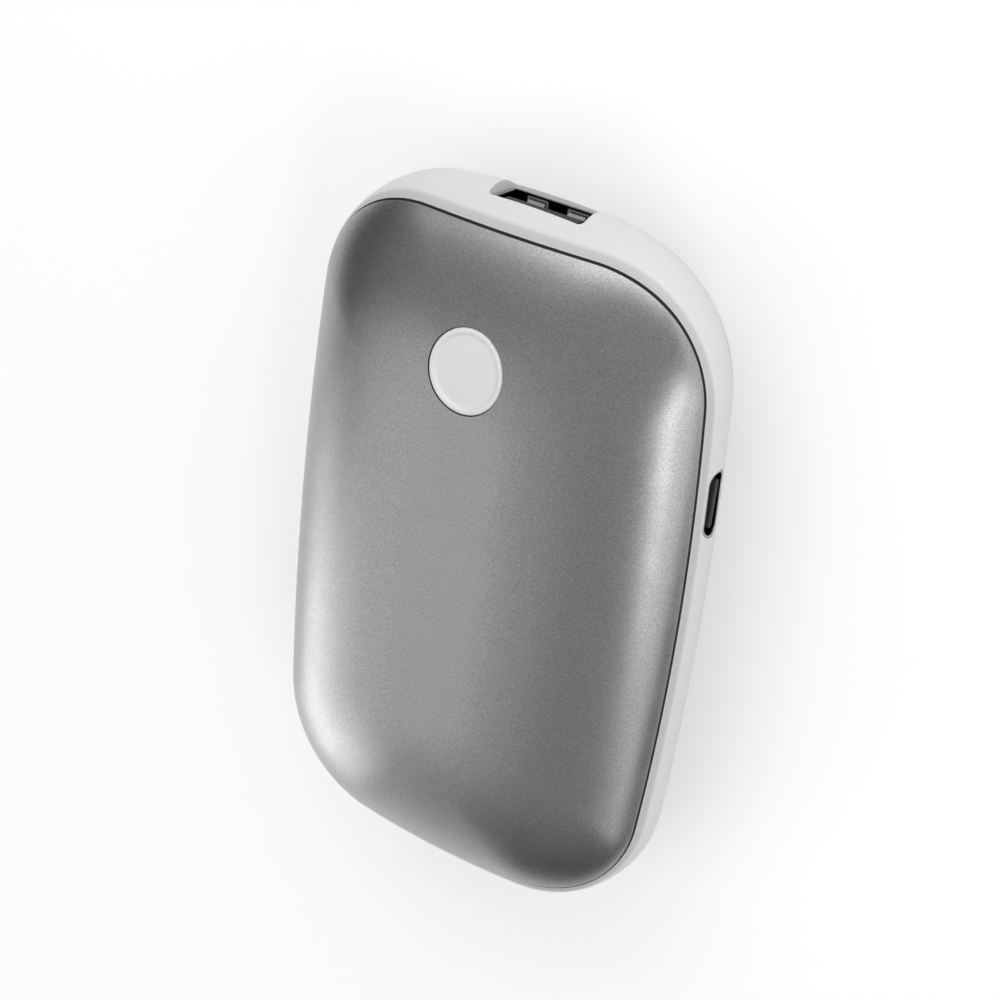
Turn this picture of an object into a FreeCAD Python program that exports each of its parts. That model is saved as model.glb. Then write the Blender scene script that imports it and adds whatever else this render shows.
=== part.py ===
"""Rechargeable hand warmer: a pebble of two aluminium covers round a moulded band.

The part lies on its back. X is its width, Y runs towards the end with the wide socket and
Z points out of the front. The origin is under the middle, on the flat land of the back.
All sizes are millimetres; heights in the code below are counted from the middle plane.
"""
import FreeCAD
import Part
import Sketcher

import math
import os
import re

SIZES = {
    # Pebble: outline at the middle plane, and how far the rounded edge reaches in
    "half_width": 31.0,
    "half_length": 48.8,
    "half_depth": 12.4,
    "corner_radius": 21.0,
    "land_radius": 5.0,
    "side_bow": 466.0,
    "end_bow": 118.0,
    "edge_reach": 25.6,
    # Hollows: distances in from the outline, flat roof and the wide rounding that leads to it
    "pocket_wall": 1.8,
    "tongue_wall": 2.0,
    "room_wall": 3.2,
    "pocket_roof": 9.6,
    "pocket_round": 16.0,
    "pocket_skirt": 0.5,
    # Seams between the covers and the band: arched across the width
    "seam_crest": 6.15,
    "seam_bow": 144.0,
    "seam_gap": 0.3,
    "tongue_rise": 1.2,
    # Web across the band, which carries the cell and the board
    "web_top": -2.8,
    "web_thick": 1.4,
    "boss_radius": 2.0,
    "boss_drop": 2.8,
    "pilot_radius": 0.8,
    "window_y": 39.0,
    "window_deep": 11.0,
    "window_play": 0.6,
    "tail_slot_play": 1.2,
    "tail_slot_deep": 1.6,
    # Button
    "button_y": 28.1,
    "button_radius": 5.45,
    "button_clearance": 0.2,
    "button_dish_radius": 4.7,
    "button_dish_drop": 0.22,
    "flange_radius": 6.2,
    "flange_top": 8.9,
    "flange_thick": 0.9,
    "stem_radius": 2.2,
    "stem_bottom": 2.22,
    # Guide for the button's stem
    "guide_half_span": 12.0,
    "guide_wide": 7.0,
    "guide_bar_bottom": 5.4,
    "guide_sheet": 1.2,
    "guide_bore": 2.45,
    "guide_tube_radius": 3.7,
    "guide_tube_bottom": 3.2,
    "guide_tube_top": 7.3,
    "guide_foot_reach": 4.0,
    # Main board
    "board_top": -1.6,
    "board_thick": 1.2,
    "board_half_width": 23.4,
    "board_low": 11.2,
    "board_high": 41.0,
    "board_corner": 16.0,
    "board_hole": 1.1,
    "notch_play": 0.15,
    # Screws
    "screw_radius": 0.75,
    "screw_length": 5.0,
    "screw_head_radius": 1.7,
    "screw_head_tall": 1.1,
    "board_screw_x": 18.5,
    "board_screw_y": 15.0,
    "guide_screw_x": 13.8,
    # Wide socket in the top edge
    "wide_port_x": 1.3,
    "wide_shell_wide": 13.1,
    "wide_shell_tall": 5.7,
    "wide_shell_wall": 0.3,
    "wide_shell_mouth": 47.2,
    "wide_shell_back": 34.2,
    "wide_cutout_wide": 13.9,
    "wide_cutout_tall": 5.9,
    "wide_cutout_corner": 0.7,
    "wide_cutter_over": 5.0,
    "wide_cutter_deep": 12.0,
    "wide_tongue_wide": 11.1,
    "wide_tongue_tall": 1.84,
    "wide_tongue_bottom": 0.1,
    "wide_tongue_end": 47.0,
    "wide_block_front": 37.0,
    "wide_contact_wide": 1.0,
    "wide_contact_tall": 0.25,
    "finger_wide": 2.5,
    "finger_rise": 0.5,
    "finger_back": 42.4,
    "finger_crest": 46.0,
    "finger_tip": 46.5,
    "finger_root": 0.6,
    "finger_play": 0.4,
    "ear_y": 38.5,
    "ear_wide": 2.2,
    "ear_deep": 2.6,
    "contact_short": 0.6,
    # Small socket in the right edge
    "small_port_y": 17.4,
    "small_shell_wide": 8.94,
    "small_shell_tall": 3.2,
    "small_shell_wall": 0.3,
    "small_shell_mouth": 29.9,
    "small_shell_back": 22.9,
    "small_cutout_wide": 9.1,
    "small_cutout_tall": 3.56,
    "small_cutter_deep": 10.0,
    "small_tongue_wide": 6.6,
    "small_tongue_tall": 0.7,
    "small_tongue_end": 29.5,
    "small_block_front": 24.7,
    "small_block_tall": 2.4,
    "small_contact_wide": 0.25,
    "small_contact_pitch": 0.5,
    "small_contact_tall": 0.05,
    # Push switch
    "switch_side": 6.2,
    "switch_tall": 2.6,
    "switch_floor": 1.0,
    "switch_well_radius": 2.6,
    "switch_cover_thick": 0.3,
    "plunger_radius": 1.6,
    "plunger_hole": 1.75,
    "plunger_flange_radius": 2.3,
    "plunger_flange_tall": 0.6,
    "plunger_top": 2.2,
    "plunger_play": 0.02,
    "dome_tall": 0.48,
    "dome_sheet": 0.1,
    "dome_sphere": 5.75,
    # Cell
    "cell_wide": 38.0,
    "cell_low": -31.5,
    "cell_high": 7.0,
    "cell_tall": 10.0,
    "cell_round": 2.0,
    "cell_board_wide": 26.0,
    "cell_board_gap": 0.4,
    "cell_board_thick": 0.8,
    "cell_board_low": -1.0,
    "cell_board_tall": 6.0,
    "tab_x": 8.0,
    "tab_height": 2.0,
    "tab_wide": 4.0,
    "tab_tall": 1.2,
    "lead_radius": 0.6,
    "lead_height": 0.4,
    "lead_spread": 1.5,
    # Heating films, their tails, the foam and the sensor beads
    "film_half_width": 12.5,
    "film_low": -30.0,
    "front_film_high": 19.0,
    "rear_film_high": 30.0,
    "film_thick": 0.2,
    "film_corner": 3.0,
    "tail_wide": 6.0,
    "tail_sheet": 0.2,
    "tail_bend": 1.0,
    "tail_lap": 4.0,
    "front_tail_y": 20.0,
    "rear_tail_y": 9.9,
    "rear_tail_height": 0.7,
    "foam_half_width": 11.5,
    "foam_low": -29.0,
    "foam_high": 5.0,
    "bead_long": 1.6,
    "bead_wide": 0.8,
    "bead_tall": 0.6,
    "front_bead_y": 11.0,
    "rear_bead_y": 18.0,
    # Parts on the board
    "heater_socket_wide": 8.0,
    "heater_socket_deep": 3.4,
    "heater_socket_tall": 1.2,
    "front_socket_y": 20.0,
    "rear_socket_y": 13.6,
    "battery_socket_x": -9.5,
    "battery_socket_y": 14.0,
    "battery_socket_wide": 7.0,
    "battery_socket_deep": 4.0,
    "battery_socket_tall": 3.6,
    "inductor_x": -18.5,
    "inductor_y": 21.0,
    "inductor_side": 7.0,
    "inductor_tall": 3.6,
    "dimple_radius": 2.2,
    "dimple_deep": 0.3,
    "chip_side": 5.0,
    "chip_tall": 1.0,
    "chip_y": 20.0,
    "charger_chip_x": -9.5,
    "controller_chip_x": 9.0,
    "capacitor_long": 3.2,
    "capacitor_wide": 1.6,
    "capacitor_tall": 1.5,
    "led_long": 1.6,
    "led_wide": 0.8,
    "led_tall": 0.6,
    "led_x": 5.4,
    "led_y": 3.8,
}

# Loft levels: angles round the pebble's edge section, from the back land to the front land
LEVEL_ANGLES = range(-90, 91, 10)
EDGE_POWER = 1.081
CORNER_FADE = 4.66

# Screws, as formulas for x and y
SCREW_PLACES = {
    "board_left": ("-board_screw_x", "board_screw_y"),
    "board_right": ("board_screw_x", "board_screw_y"),
    "guide_left": ("-guide_screw_x", "button_y"),
    "guide_right": ("guide_screw_x", "button_y"),
}
# Offsets of the sprung fingers and the contacts from the middle of the wide socket
WIDE_FINGER_OFFSETS = (-3, 3)
WIDE_CONTACT_OFFSETS = (-3.5, -1, 1, 3.5)
SMALL_CONTACTS = 12
CAPACITOR_PLACES = ((15.5, 20), (15.5, 22.5), (-4.5, 22.5), (-4.5, 17.5), (19.5, 24), (-13.2, 33.5))

doc = FreeCAD.newDocument("hand_warmer")
dims = doc.addObject("Spreadsheet::Sheet", "dims")
for row, (alias, value) in enumerate(SIZES.items(), start=1):
    dims.set(f"A{row}", str(value))
    dims.setAlias(f"A{row}", alias)
doc.recompute()


def cells(text):
    """Turn the plain words of a formula into references to the sheet."""
    return re.sub(r"[a-z_]{3,}", r"dims.\g<0>", str(text))


def bind(item, prop, text):
    """Bind one property of an object to a formula on the sheet."""
    item.setExpression(prop, cells(text))


def place(item, x, y, z):
    """Bind an object's position, with its height counted from the middle plane."""
    bind(item, "Placement.Base.x", x)
    bind(item, "Placement.Base.y", y)
    bind(item, "Placement.Base.z", f"half_depth + ({z})")


def block(name, x, y, z, wide, deep, tall):
    """A box centred on x and y, standing on z."""
    item = doc.addObject("Part::Box", name)
    bind(item, "Length", wide)
    bind(item, "Width", deep)
    bind(item, "Height", tall)
    place(item, f"({x}) - ({wide}) / 2", f"({y}) - ({deep}) / 2", z)
    return item


def pin(name, x, y, z, radius, tall):
    """An upright cylinder standing on z."""
    item = doc.addObject("Part::Cylinder", name)
    bind(item, "Radius", radius)
    bind(item, "Height", tall)
    place(item, x, y, z)
    return item


def cut(name, base, tool):
    item = doc.addObject("Part::Cut", name)
    item.Base = base
    item.Tool = tool
    return item


def fuse(name, pieces):
    item = doc.addObject("Part::MultiFuse", name)
    item.Shapes = pieces
    return item


def common(name, pieces):
    item = doc.addObject("Part::MultiCommon", name)
    item.Shapes = pieces
    return item


def group(name, pieces):
    """Identical loose pieces that share one node."""
    item = doc.addObject("Part::Compound", name)
    item.Links = pieces
    return item


# PartDesign helpers

def body(name):
    return doc.addObject("PartDesign::Body", name)


def sketch_on(owner, name, role, offset):
    """A sketch on one of the body's own origin planes, moved out along its normal."""
    sketch = owner.newObject("Sketcher::SketchObject", name)
    plane = next(item for item in owner.Origin.OriginFeatures if item.Role == role)
    sketch.AttachmentSupport = [(plane, "")]
    sketch.MapMode = "FlatFace"
    bind(sketch, "AttachmentOffset.Base.z", offset)
    return sketch


def number(text):
    """Work out a sum of sheet cells, each maybe scaled, to start a sketch near its final shape."""
    total = 0.0
    terms = re.findall(r"([+-]?)\s*(?:(\d+) \* )?([a-z_]+|[\d.]+)(?: / (\d+))?", text)
    for sign, times, word, share in terms:
        amount = SIZES[word] if word in SIZES else float(word)
        amount *= float(times or 1) / float(share or 1)
        total += -amount if sign == "-" else amount
    return total


def polygon(sketch, corners):
    """A closed outline whose corners are formulas, each held by its own two dimensions."""
    points = [FreeCAD.Vector(number(x), number(y), 0) for x, y in corners]
    last = len(points) - 1
    for index, point in enumerate(points):
        following = points[0 if index == last else index + 1]
        sketch.addGeometry(Part.LineSegment(point, following), False)
    for index in range(len(points)):
        following = 0 if index == last else index + 1
        sketch.addConstraint(Sketcher.Constraint("Coincident", index, 2, following, 1))
    for index, (point, texts) in enumerate(zip(points, corners)):
        for kind, value, text in zip(("DistanceX", "DistanceY"), point, texts):
            made = sketch.addConstraint(Sketcher.Constraint(kind, -1, 1, index, 1, value))
            label = f"{kind}_{index}"
            sketch.renameConstraint(made, label)
            bind(sketch, f"Constraints.{label}", text)


def rectangle(sketch, left, low, right, high):
    polygon(sketch, [(left, low), (right, low), (right, high), (left, high)])


def circle(sketch, x, y, radius):
    centre = FreeCAD.Vector(number(x), number(y), 0)
    made = sketch.addGeometry(Part.Circle(centre, FreeCAD.Vector(0, 0, 1), number(radius)), False)
    held = (("DistanceX", x, centre.x), ("DistanceY", y, centre.y))
    for kind, text, value in held:
        index = sketch.addConstraint(Sketcher.Constraint(kind, -1, 1, made, 3, value))
        sketch.renameConstraint(index, f"{kind}_{made}")
        bind(sketch, f"Constraints.{kind}_{made}", text)
    index = sketch.addConstraint(Sketcher.Constraint("Radius", made, number(radius)))
    sketch.renameConstraint(index, f"Radius_{made}")
    bind(sketch, f"Constraints.Radius_{made}", radius)


def stadium(sketch, x, y, wide, tall):
    """A round-ended slot outline: two half circles joined by two straight runs."""
    radius = number(tall) / 2
    reach = number(wide) / 2 - radius
    middle = FreeCAD.Vector(number(x), number(y), 0)
    up, across = FreeCAD.Vector(0, radius, 0), FreeCAD.Vector(reach, 0, 0)
    axis = FreeCAD.Vector(0, 0, 1)
    half = math.pi / 2
    sketch.addGeometry(Part.ArcOfCircle(Part.Circle(middle + across, axis, radius), -half, half), False)
    sketch.addGeometry(Part.LineSegment(middle + across + up, middle - across + up), False)
    sketch.addGeometry(Part.ArcOfCircle(Part.Circle(middle - across, axis, radius), half, 3 * half), False)
    sketch.addGeometry(Part.LineSegment(middle - across - up, middle + across - up), False)
    rules = [Sketcher.Constraint("Tangent", n, 2, (n + 1) % 4, 1) for n in range(4)]
    sketch.addConstraint(rules + [Sketcher.Constraint("Horizontal", 1)])
    right = f"{x} + ({wide}) / 2 - ({tall}) / 2"
    left = f"{x} - ({wide}) / 2 + ({tall}) / 2"
    sized = [
        ("radius", Sketcher.Constraint("Radius", 0, radius), f"({tall}) / 2"),
        ("right", Sketcher.Constraint("DistanceX", -1, 1, 0, 3, middle.x + reach), right),
        ("left", Sketcher.Constraint("DistanceX", -1, 1, 2, 3, middle.x - reach), left),
        ("height", Sketcher.Constraint("DistanceY", -1, 1, 0, 3, middle.y), y),
    ]
    for label, rule, text in sized:
        sketch.renameConstraint(sketch.addConstraint(rule), label)
        bind(sketch, f"Constraints.{label}", text)


def pad(owner, sketch, length, midplane=False):
    feature = owner.newObject("PartDesign::Pad", f"{sketch.Name}_pad")
    feature.Profile = sketch
    bind(feature, "Length", length)
    feature.Midplane = midplane
    sketch.Visibility = False
    return feature


def pocket(owner, sketch, length, midplane=False):
    """A pocket that must take material away."""
    doc.recompute()
    before = owner.Shape.Volume
    feature = owner.newObject("PartDesign::Pocket", f"{sketch.Name}_pocket")
    feature.Profile = sketch
    bind(feature, "Length", length)
    feature.Midplane = midplane
    doc.recompute()
    if not owner.Shape.Volume < before - 1e-6:
        raise RuntimeError(f"{feature.Name} cuts nothing")
    return feature


def round_edges(owner, name, radius, wanted):
    """Fillet the edges of the body for which wanted(edge) is true."""
    doc.recompute()
    tip = owner.Tip
    names = [f"Edge{n}" for n, edge in enumerate(tip.Shape.Edges, start=1) if wanted(edge)]
    if not names:
        raise RuntimeError(f"{name} finds no edge")
    feature = owner.newObject("PartDesign::Fillet", name)
    feature.Base = (tip, names)
    bind(feature, "Radius", radius)
    return feature


def runs_along(edge, axis):
    """True for a straight edge parallel to the axis, given as 0, 1 or 2."""
    if not isinstance(edge.Curve, Part.Line):
        return False
    return abs(abs(edge.Curve.Direction[axis]) - 1) < 1e-6


# Pebble levels

def weighted(**weights):
    """A weighted sum of sheet cells, as a formula and as a number."""
    text = " + ".join(f"{weight:.6f} * {alias}" for alias, weight in weights.items())
    return text, sum(weight * SIZES[alias] for alias, weight in weights.items())


def level_sketch(name, angle, inset=None):
    """One level of the pebble, or a line inside it: eight tangent arcs, even about both axes."""
    turn = math.radians(angle)
    reach = 1 - abs(math.cos(turn)) ** EDGE_POWER
    rise = math.copysign(abs(math.sin(turn)) ** EDGE_POWER, turn)
    fade = abs(math.cos(turn)) ** CORNER_FADE
    shrink = {inset: -1.0} if inset else {}
    corner_text, corner = weighted(land_radius=1 - fade, corner_radius=fade, **shrink)
    side_text, side = weighted(side_bow=1, edge_reach=-reach, **shrink)
    end_text, end = weighted(end_bow=1, edge_reach=-reach, **shrink)
    side_in_text, side_in = weighted(side_bow=1, half_width=-1)
    end_in_text, end_in = weighted(end_bow=1, half_length=-1)
    height_text, height = weighted(half_depth=1 + rise)

    # Corner centre: tangent inside the side arc and the end arc
    to_side, to_end = side - corner, end - corner
    side_centre = FreeCAD.Vector(-side_in, 0, 0)
    end_centre = FreeCAD.Vector(0, -end_in, 0)
    gap = end_centre - side_centre
    along = (to_side ** 2 - to_end ** 2 + gap.Length ** 2) / (2 * gap.Length)
    across = math.sqrt(to_side ** 2 - along ** 2)
    forward = FreeCAD.Vector(gap).normalize()
    sideways = FreeCAD.Vector(-forward.y, forward.x, 0)
    corner_centre = side_centre + forward * along + sideways * across
    side_turn = math.atan2(corner_centre.y, corner_centre.x + side_in)
    end_turn = math.atan2(corner_centre.y + end_in, corner_centre.x)

    sketch = doc.addObject("Sketcher::SketchObject", name)
    quarter = math.pi
    x, y = corner_centre.x, corner_centre.y
    arcs = [
        (-side_in, 0, side, -side_turn, side_turn),
        (x, y, corner, side_turn, end_turn),
        (0, -end_in, end, end_turn, quarter - end_turn),
        (-x, y, corner, quarter - end_turn, quarter - side_turn),
        (side_in, 0, side, quarter - side_turn, quarter + side_turn),
        (-x, -y, corner, quarter + side_turn, quarter + end_turn),
        (0, end_in, end, quarter + end_turn, 2 * quarter - end_turn),
        (x, -y, corner, 2 * quarter - end_turn, 2 * quarter - side_turn),
    ]
    up = FreeCAD.Vector(0, 0, 1)
    for centre_x, centre_y, radius, start, stop in arcs:
        ring = Part.Circle(FreeCAD.Vector(centre_x, centre_y, 0), up, radius)
        sketch.addGeometry(Part.ArcOfCircle(ring, start, stop), False)
    rules = [Sketcher.Constraint("Tangent", n, 2, (n + 1) % 8, 1) for n in range(8)]
    on_axes = ((0, -1), (4, -1), (2, -2), (6, -2))
    rules += [Sketcher.Constraint("PointOnObject", n, 3, axis) for n, axis in on_axes]
    rules += [Sketcher.Constraint("Equal", 1, n) for n in (3, 5, 7)]
    rules += [Sketcher.Constraint("Equal", 0, 4), Sketcher.Constraint("Equal", 2, 6)]
    sketch.addConstraint(rules)
    sized = [
        ("corner", Sketcher.Constraint("Radius", 1, corner), corner_text),
        ("side", Sketcher.Constraint("Radius", 0, side), side_text),
        ("end", Sketcher.Constraint("Radius", 2, end), end_text),
        ("right", Sketcher.Constraint("DistanceX", 0, 3, -1, 1, side_in), side_in_text),
        ("left", Sketcher.Constraint("DistanceX", -1, 1, 4, 3, side_in), side_in_text),
        ("top", Sketcher.Constraint("DistanceY", 2, 3, -1, 1, end_in), end_in_text),
        ("bottom", Sketcher.Constraint("DistanceY", -1, 1, 6, 3, end_in), end_in_text),
    ]
    for label, rule, text in sized:
        sketch.renameConstraint(sketch.addConstraint(rule), label)
        bind(sketch, f"Constraints.{label}", text)
    sketch.Placement.Base.z = height
    bind(sketch, "Placement.Base.z", height_text)
    return sketch


def pebble(name):
    """The whole pebble, lofted through its levels."""
    loft = doc.addObject("Part::Loft", name)
    loft.Sections = [level_sketch(f"{name}_level_{n}", angle) for n, angle in enumerate(LEVEL_ANGLES)]
    loft.Solid = True
    loft.Ruled = False
    return loft


def seam_drum(name, side, radius):
    """A long drum whose upper (front) or lower (rear) surface is a seam; side is 1 or -1."""
    drum = doc.addObject("Part::Cylinder", name)
    bind(drum, "Radius", radius)
    bind(drum, "Height", "4 * half_length")
    drum.Placement.Rotation = FreeCAD.Rotation(FreeCAD.Vector(1, 0, 0), -90)
    place(drum, "0", "-2 * half_length", f"{side} * (seam_crest - seam_bow)")
    return drum


def hollow(name, side, inset):
    """The room inside one cover: upright walls, a wide rounding and a flat roof; side is 1 or -1."""
    owner = body(name)
    outline = level_sketch(f"{name}_outline", 0, inset)
    owner.addObject(outline)
    bind(outline, "Placement.Base.z", f"half_depth + {side} * (pocket_roof - pocket_round - pocket_skirt)")
    prism = pad(owner, outline, f"pocket_round + pocket_skirt + pocket_wall - {inset}")
    prism.Reversed = side < 0
    roof = SIZES["half_depth"] + side * (SIZES["pocket_roof"] + SIZES["pocket_wall"] - SIZES[inset])
    round_edges(owner, f"{name}_rounding", f"pocket_round + pocket_wall - {inset}",
                lambda edge: abs(edge.CenterOfMass.z - roof) < 1e-3)
    return owner


def lens(name, inset):
    """The room that both hollows share, for what lies inside the band."""
    return common(name, [hollow(f"{name}_front", 1, inset), hollow(f"{name}_rear", -1, inset)])


skin = pebble("skin")
tongue_core = lens("tongue_core", "tongue_wall")
room = lens("room", "room_wall")

# Covers, band and seals

front_low = seam_drum("front_low", 1, "seam_bow - seam_gap / 2")
rear_low = seam_drum("rear_low", -1, "seam_bow - seam_gap / 2")
front_high = seam_drum("front_high", 1, "seam_bow + seam_gap / 2")
rear_high = seam_drum("rear_high", -1, "seam_bow + seam_gap / 2")
front_tongue = seam_drum("front_tongue", 1, "seam_bow + tongue_rise")
rear_tongue = seam_drum("rear_tongue", -1, "seam_bow + tongue_rise")

button_hole = pin("button_hole", "0", "button_y", "0", "button_radius + button_clearance", "2 * half_depth")
front_pocket = hollow("front_pocket", 1, "pocket_wall")
rear_pocket = hollow("rear_pocket", -1, "pocket_wall")
front_shell = cut("front_shell", cut("front_dome", skin, front_high), front_pocket)
front_cover = cut("front_cover", front_shell, button_hole)
rear_cover = cut("rear_cover", cut("rear_dome", skin, rear_high), rear_pocket)


def seal(name, high, low):
    """A thin ring that fills the seam, flush with the skin, round the locating tongue."""
    layer = cut(f"{name}_layer", common(f"{name}_zone", [skin, high]), low)
    return cut(name, layer, tongue_core)


front_gasket = seal("front_gasket", front_high, front_low)
rear_gasket = seal("rear_gasket", rear_high, rear_low)


def wide_cutter():
    """The opening for the wide socket: a block with rounded corners, through the top of the band."""
    owner = body("wide_cutter")
    sketch = sketch_on(owner, "wide_opening", "XZ_Plane", "-half_length - wide_cutter_over")
    rectangle(sketch, "wide_port_x - wide_cutout_wide / 2", "half_depth - wide_cutout_tall / 2",
              "wide_port_x + wide_cutout_wide / 2", "half_depth + wide_cutout_tall / 2")
    pad(owner, sketch, "wide_cutter_deep")
    round_edges(owner, "wide_opening_corners", "wide_cutout_corner", lambda edge: runs_along(edge, 1))
    return owner


def stadium_body(name, start, length, wide, tall):
    """A bar of round-ended section that runs along X through the small port."""
    owner = body(name)
    sketch = sketch_on(owner, f"{name}_outline", "YZ_Plane", start)
    stadium(sketch, "small_port_y", "half_depth", wide, tall)
    pad(owner, sketch, length)
    return owner


def mid_frame_piece():
    """The band: outer wall, locating tongue, inner web with bosses, and the openings."""
    wall = common("band", [skin, front_low, rear_low])
    tongue = common("tongue", [tongue_core, front_tongue, rear_tongue])
    ring = cut("ring", fuse("ring_solid", [wall, tongue]), room)
    web_low = "web_top - web_thick"
    slab = block("web_slab", "0", "0", web_low, "2 * half_width", "2 * half_length", "web_thick")
    pieces = [ring, common("web", [tongue_core, slab])]
    holes = [
        wide_cutter(),
        stadium_body("small_cutter", "small_block_front", "small_cutter_deep", "small_cutout_wide",
                     "small_cutout_tall"),
        block("wide_window", "wide_port_x", "window_y", web_low, "wide_cutout_wide + window_play",
              "window_deep", "web_thick"),
        block("tail_slot", "0", "rear_tail_y", web_low, "tail_wide + tail_slot_play", "tail_slot_deep",
              "web_thick"),
    ]
    boss_low = f"{web_low} - boss_drop"
    for label, (x, y) in SCREW_PLACES.items():
        pieces.append(pin(f"boss_{label}", x, y, boss_low, "boss_radius", "boss_drop"))
        holes.append(pin(f"pilot_{label}", x, y, boss_low, "pilot_radius", "2 * half_depth"))
    return cut("mid_frame", fuse("frame_solid", pieces), fuse("frame_holes", holes))


mid_frame = mid_frame_piece()

# Button and its guide


def button_piece():
    """The cap follows the pebble, with a dish inside its rim; a flange and a stem hang below."""
    lowered = doc.addObject("Part::Loft", "lowered_skin")
    lowered.Sections = skin.Sections
    lowered.Solid = True
    bind(lowered, "Placement.Base.z", "-button_dish_drop")
    plug = pin("cap_plug", "0", "button_y", "flange_top", "button_radius", "half_depth")
    dish_plug = pin("dish_plug", "0", "button_y", "flange_top", "button_dish_radius", "half_depth")
    cap = cut("cap", common("cap_blank", [skin, plug]), cut("dish", dish_plug, lowered))
    flange = pin("flange", "0", "button_y", "flange_top - flange_thick", "flange_radius", "flange_thick")
    stem = pin("stem", "0", "button_y", "stem_bottom", "stem_radius", "flange_top - stem_bottom")
    return fuse("power_button", [cap, flange, stem])


def guide_piece():
    """A bridge over the push switch with a tube for the button's stem and two screwed feet."""
    foot = "guide_sheet + guide_foot_reach"
    pieces = [
        block("guide_bar", "0", "button_y", "guide_bar_bottom", "2 * guide_half_span", "guide_wide",
              "guide_sheet"),
        pin("guide_tube", "0", "button_y", "guide_tube_bottom", "guide_tube_radius",
            "guide_tube_top - guide_tube_bottom"),
    ]
    holes = [pin("guide_bore_pin", "0", "button_y", "0", "guide_bore", "half_depth")]
    for side, sign in (("left", "-1"), ("right", "1")):
        leg_x = f"{sign} * (guide_half_span - guide_sheet / 2)"
        foot_x = f"{sign} * (guide_half_span - guide_sheet + ({foot}) / 2)"
        pieces.append(block(f"guide_leg_{side}", leg_x, "button_y", "board_top", "guide_sheet", "guide_wide",
                            "guide_bar_bottom + guide_sheet - board_top"))
        pieces.append(block(f"guide_foot_{side}", foot_x, "button_y", "board_top", foot, "guide_wide",
                            "guide_sheet"))
        holes.append(pin(f"guide_hole_{side}", f"{sign} * guide_screw_x", "button_y", "board_top",
                         "board_hole", "guide_sheet"))
    return cut("button_guide", fuse("guide_solid", pieces), fuse("guide_holes", holes))


def screw(label, seat):
    x, y = SCREW_PLACES[label]
    head = pin(f"screw_head_{label}", x, y, seat, "screw_head_radius", "screw_head_tall")
    shank = pin(f"screw_shank_{label}", x, y, f"{seat} - screw_length", "screw_radius", "screw_length")
    return fuse(f"screw_{label}", [head, shank])


power_button = button_piece()
button_guide = guide_piece()
SIDES = ("left", "right")
board_screws = group("board_screws", [screw(f"board_{side}", "board_top") for side in SIDES])
guide_seat = "board_top + guide_sheet"
guide_screws = group("guide_screws", [screw(f"guide_{side}", guide_seat) for side in SIDES])

# Main board


def board_piece():
    owner = body("main_board")
    floor = "half_depth + board_top - board_thick"
    sketch = sketch_on(owner, "board_outline", "XY_Plane", floor)
    rectangle(sketch, "-board_half_width", "board_low", "board_half_width", "board_high")
    pad(owner, sketch, "board_thick")
    top = SIZES["board_high"]
    round_edges(owner, "board_corners", "board_corner",
                lambda edge: runs_along(edge, 2) and abs(edge.CenterOfMass.y - top) < 1e-3)
    notch = sketch_on(owner, "port_notch", "XY_Plane", "half_depth + board_top")
    rectangle(notch, "wide_port_x - wide_shell_wide / 2 - notch_play", "wide_shell_back - notch_play",
              "wide_port_x + wide_shell_wide / 2 + notch_play", "half_length")
    pocket(owner, notch, "board_thick")
    holes = sketch_on(owner, "screw_holes", "XY_Plane", "half_depth + board_top")
    for x, y in SCREW_PLACES.values():
        circle(holes, x, y, "board_hole")
    pocket(owner, holes, "board_thick")
    return owner


main_board = board_piece()

# Wide socket


def wide_shell_piece():
    """Folded steel shell, open at the mouth, with two sprung fingers in each broad wall."""
    wall = "wide_shell_wall"
    half = "wide_shell_tall / 2"
    depth = "wide_shell_mouth - wide_shell_back"
    outer = block("wide_outer", "wide_port_x", "(wide_shell_mouth + wide_shell_back) / 2", f"-{half}",
                  "wide_shell_wide", depth, "wide_shell_tall")
    inner = block("wide_inner", "wide_port_x", f"(wide_shell_mouth + wide_shell_back) / 2 + {wall}",
                  f"{wall} - {half}", f"wide_shell_wide - 2 * {wall}", depth, f"wide_shell_tall - 2 * {wall}")
    windows, fingers = [inner], []
    for n, offset in enumerate(WIDE_FINGER_OFFSETS):
        for side, sign in (("rear", "-"), ("front", "+")):
            label = f"{side}_{n}"
            low = f"-{half}" if sign == "-" else f"{half} - {wall}"
            windows.append(block(f"finger_window_{label}", f"wide_port_x + {offset}",
                                 "(finger_back + finger_tip + finger_play) / 2", low,
                                 "finger_wide + 2 * finger_play", "finger_tip + finger_play - finger_back",
                                 wall))
            back = "+" if sign == "-" else "-"
            skin_out = f"half_depth {sign} wide_shell_tall / 2"
            skin_in = f"{skin_out} {back} {wall}"
            owner = body(f"finger_{label}")
            sketch = sketch_on(owner, f"finger_profile_{label}", "YZ_Plane", f"wide_port_x + {offset}")
            polygon(sketch, [
                ("finger_back - finger_root", skin_out), ("finger_back", skin_out),
                ("finger_crest", f"{skin_out} {back} finger_rise"), ("finger_tip", skin_out),
                ("finger_tip", skin_in), ("finger_crest", f"{skin_in} {back} finger_rise"),
                ("finger_back", skin_in), ("finger_back - finger_root", skin_in),
            ])
            pad(owner, sketch, "finger_wide", midplane=True)
            fingers.append(owner)
    ear_reach = f"(wide_shell_wide / 2 - {wall} + ear_wide / 2)"
    ears = [
        block(f"ear_{side}", f"wide_port_x {sign} {ear_reach}", "ear_y", "board_top", "ear_wide", "ear_deep",
              wall)
        for side, sign in (("left", "-"), ("right", "+"))
    ]
    tube = cut("wide_tube", outer, fuse("wide_openings", windows))
    return fuse("usb_a_shell", [tube] + fingers + ears)


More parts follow.
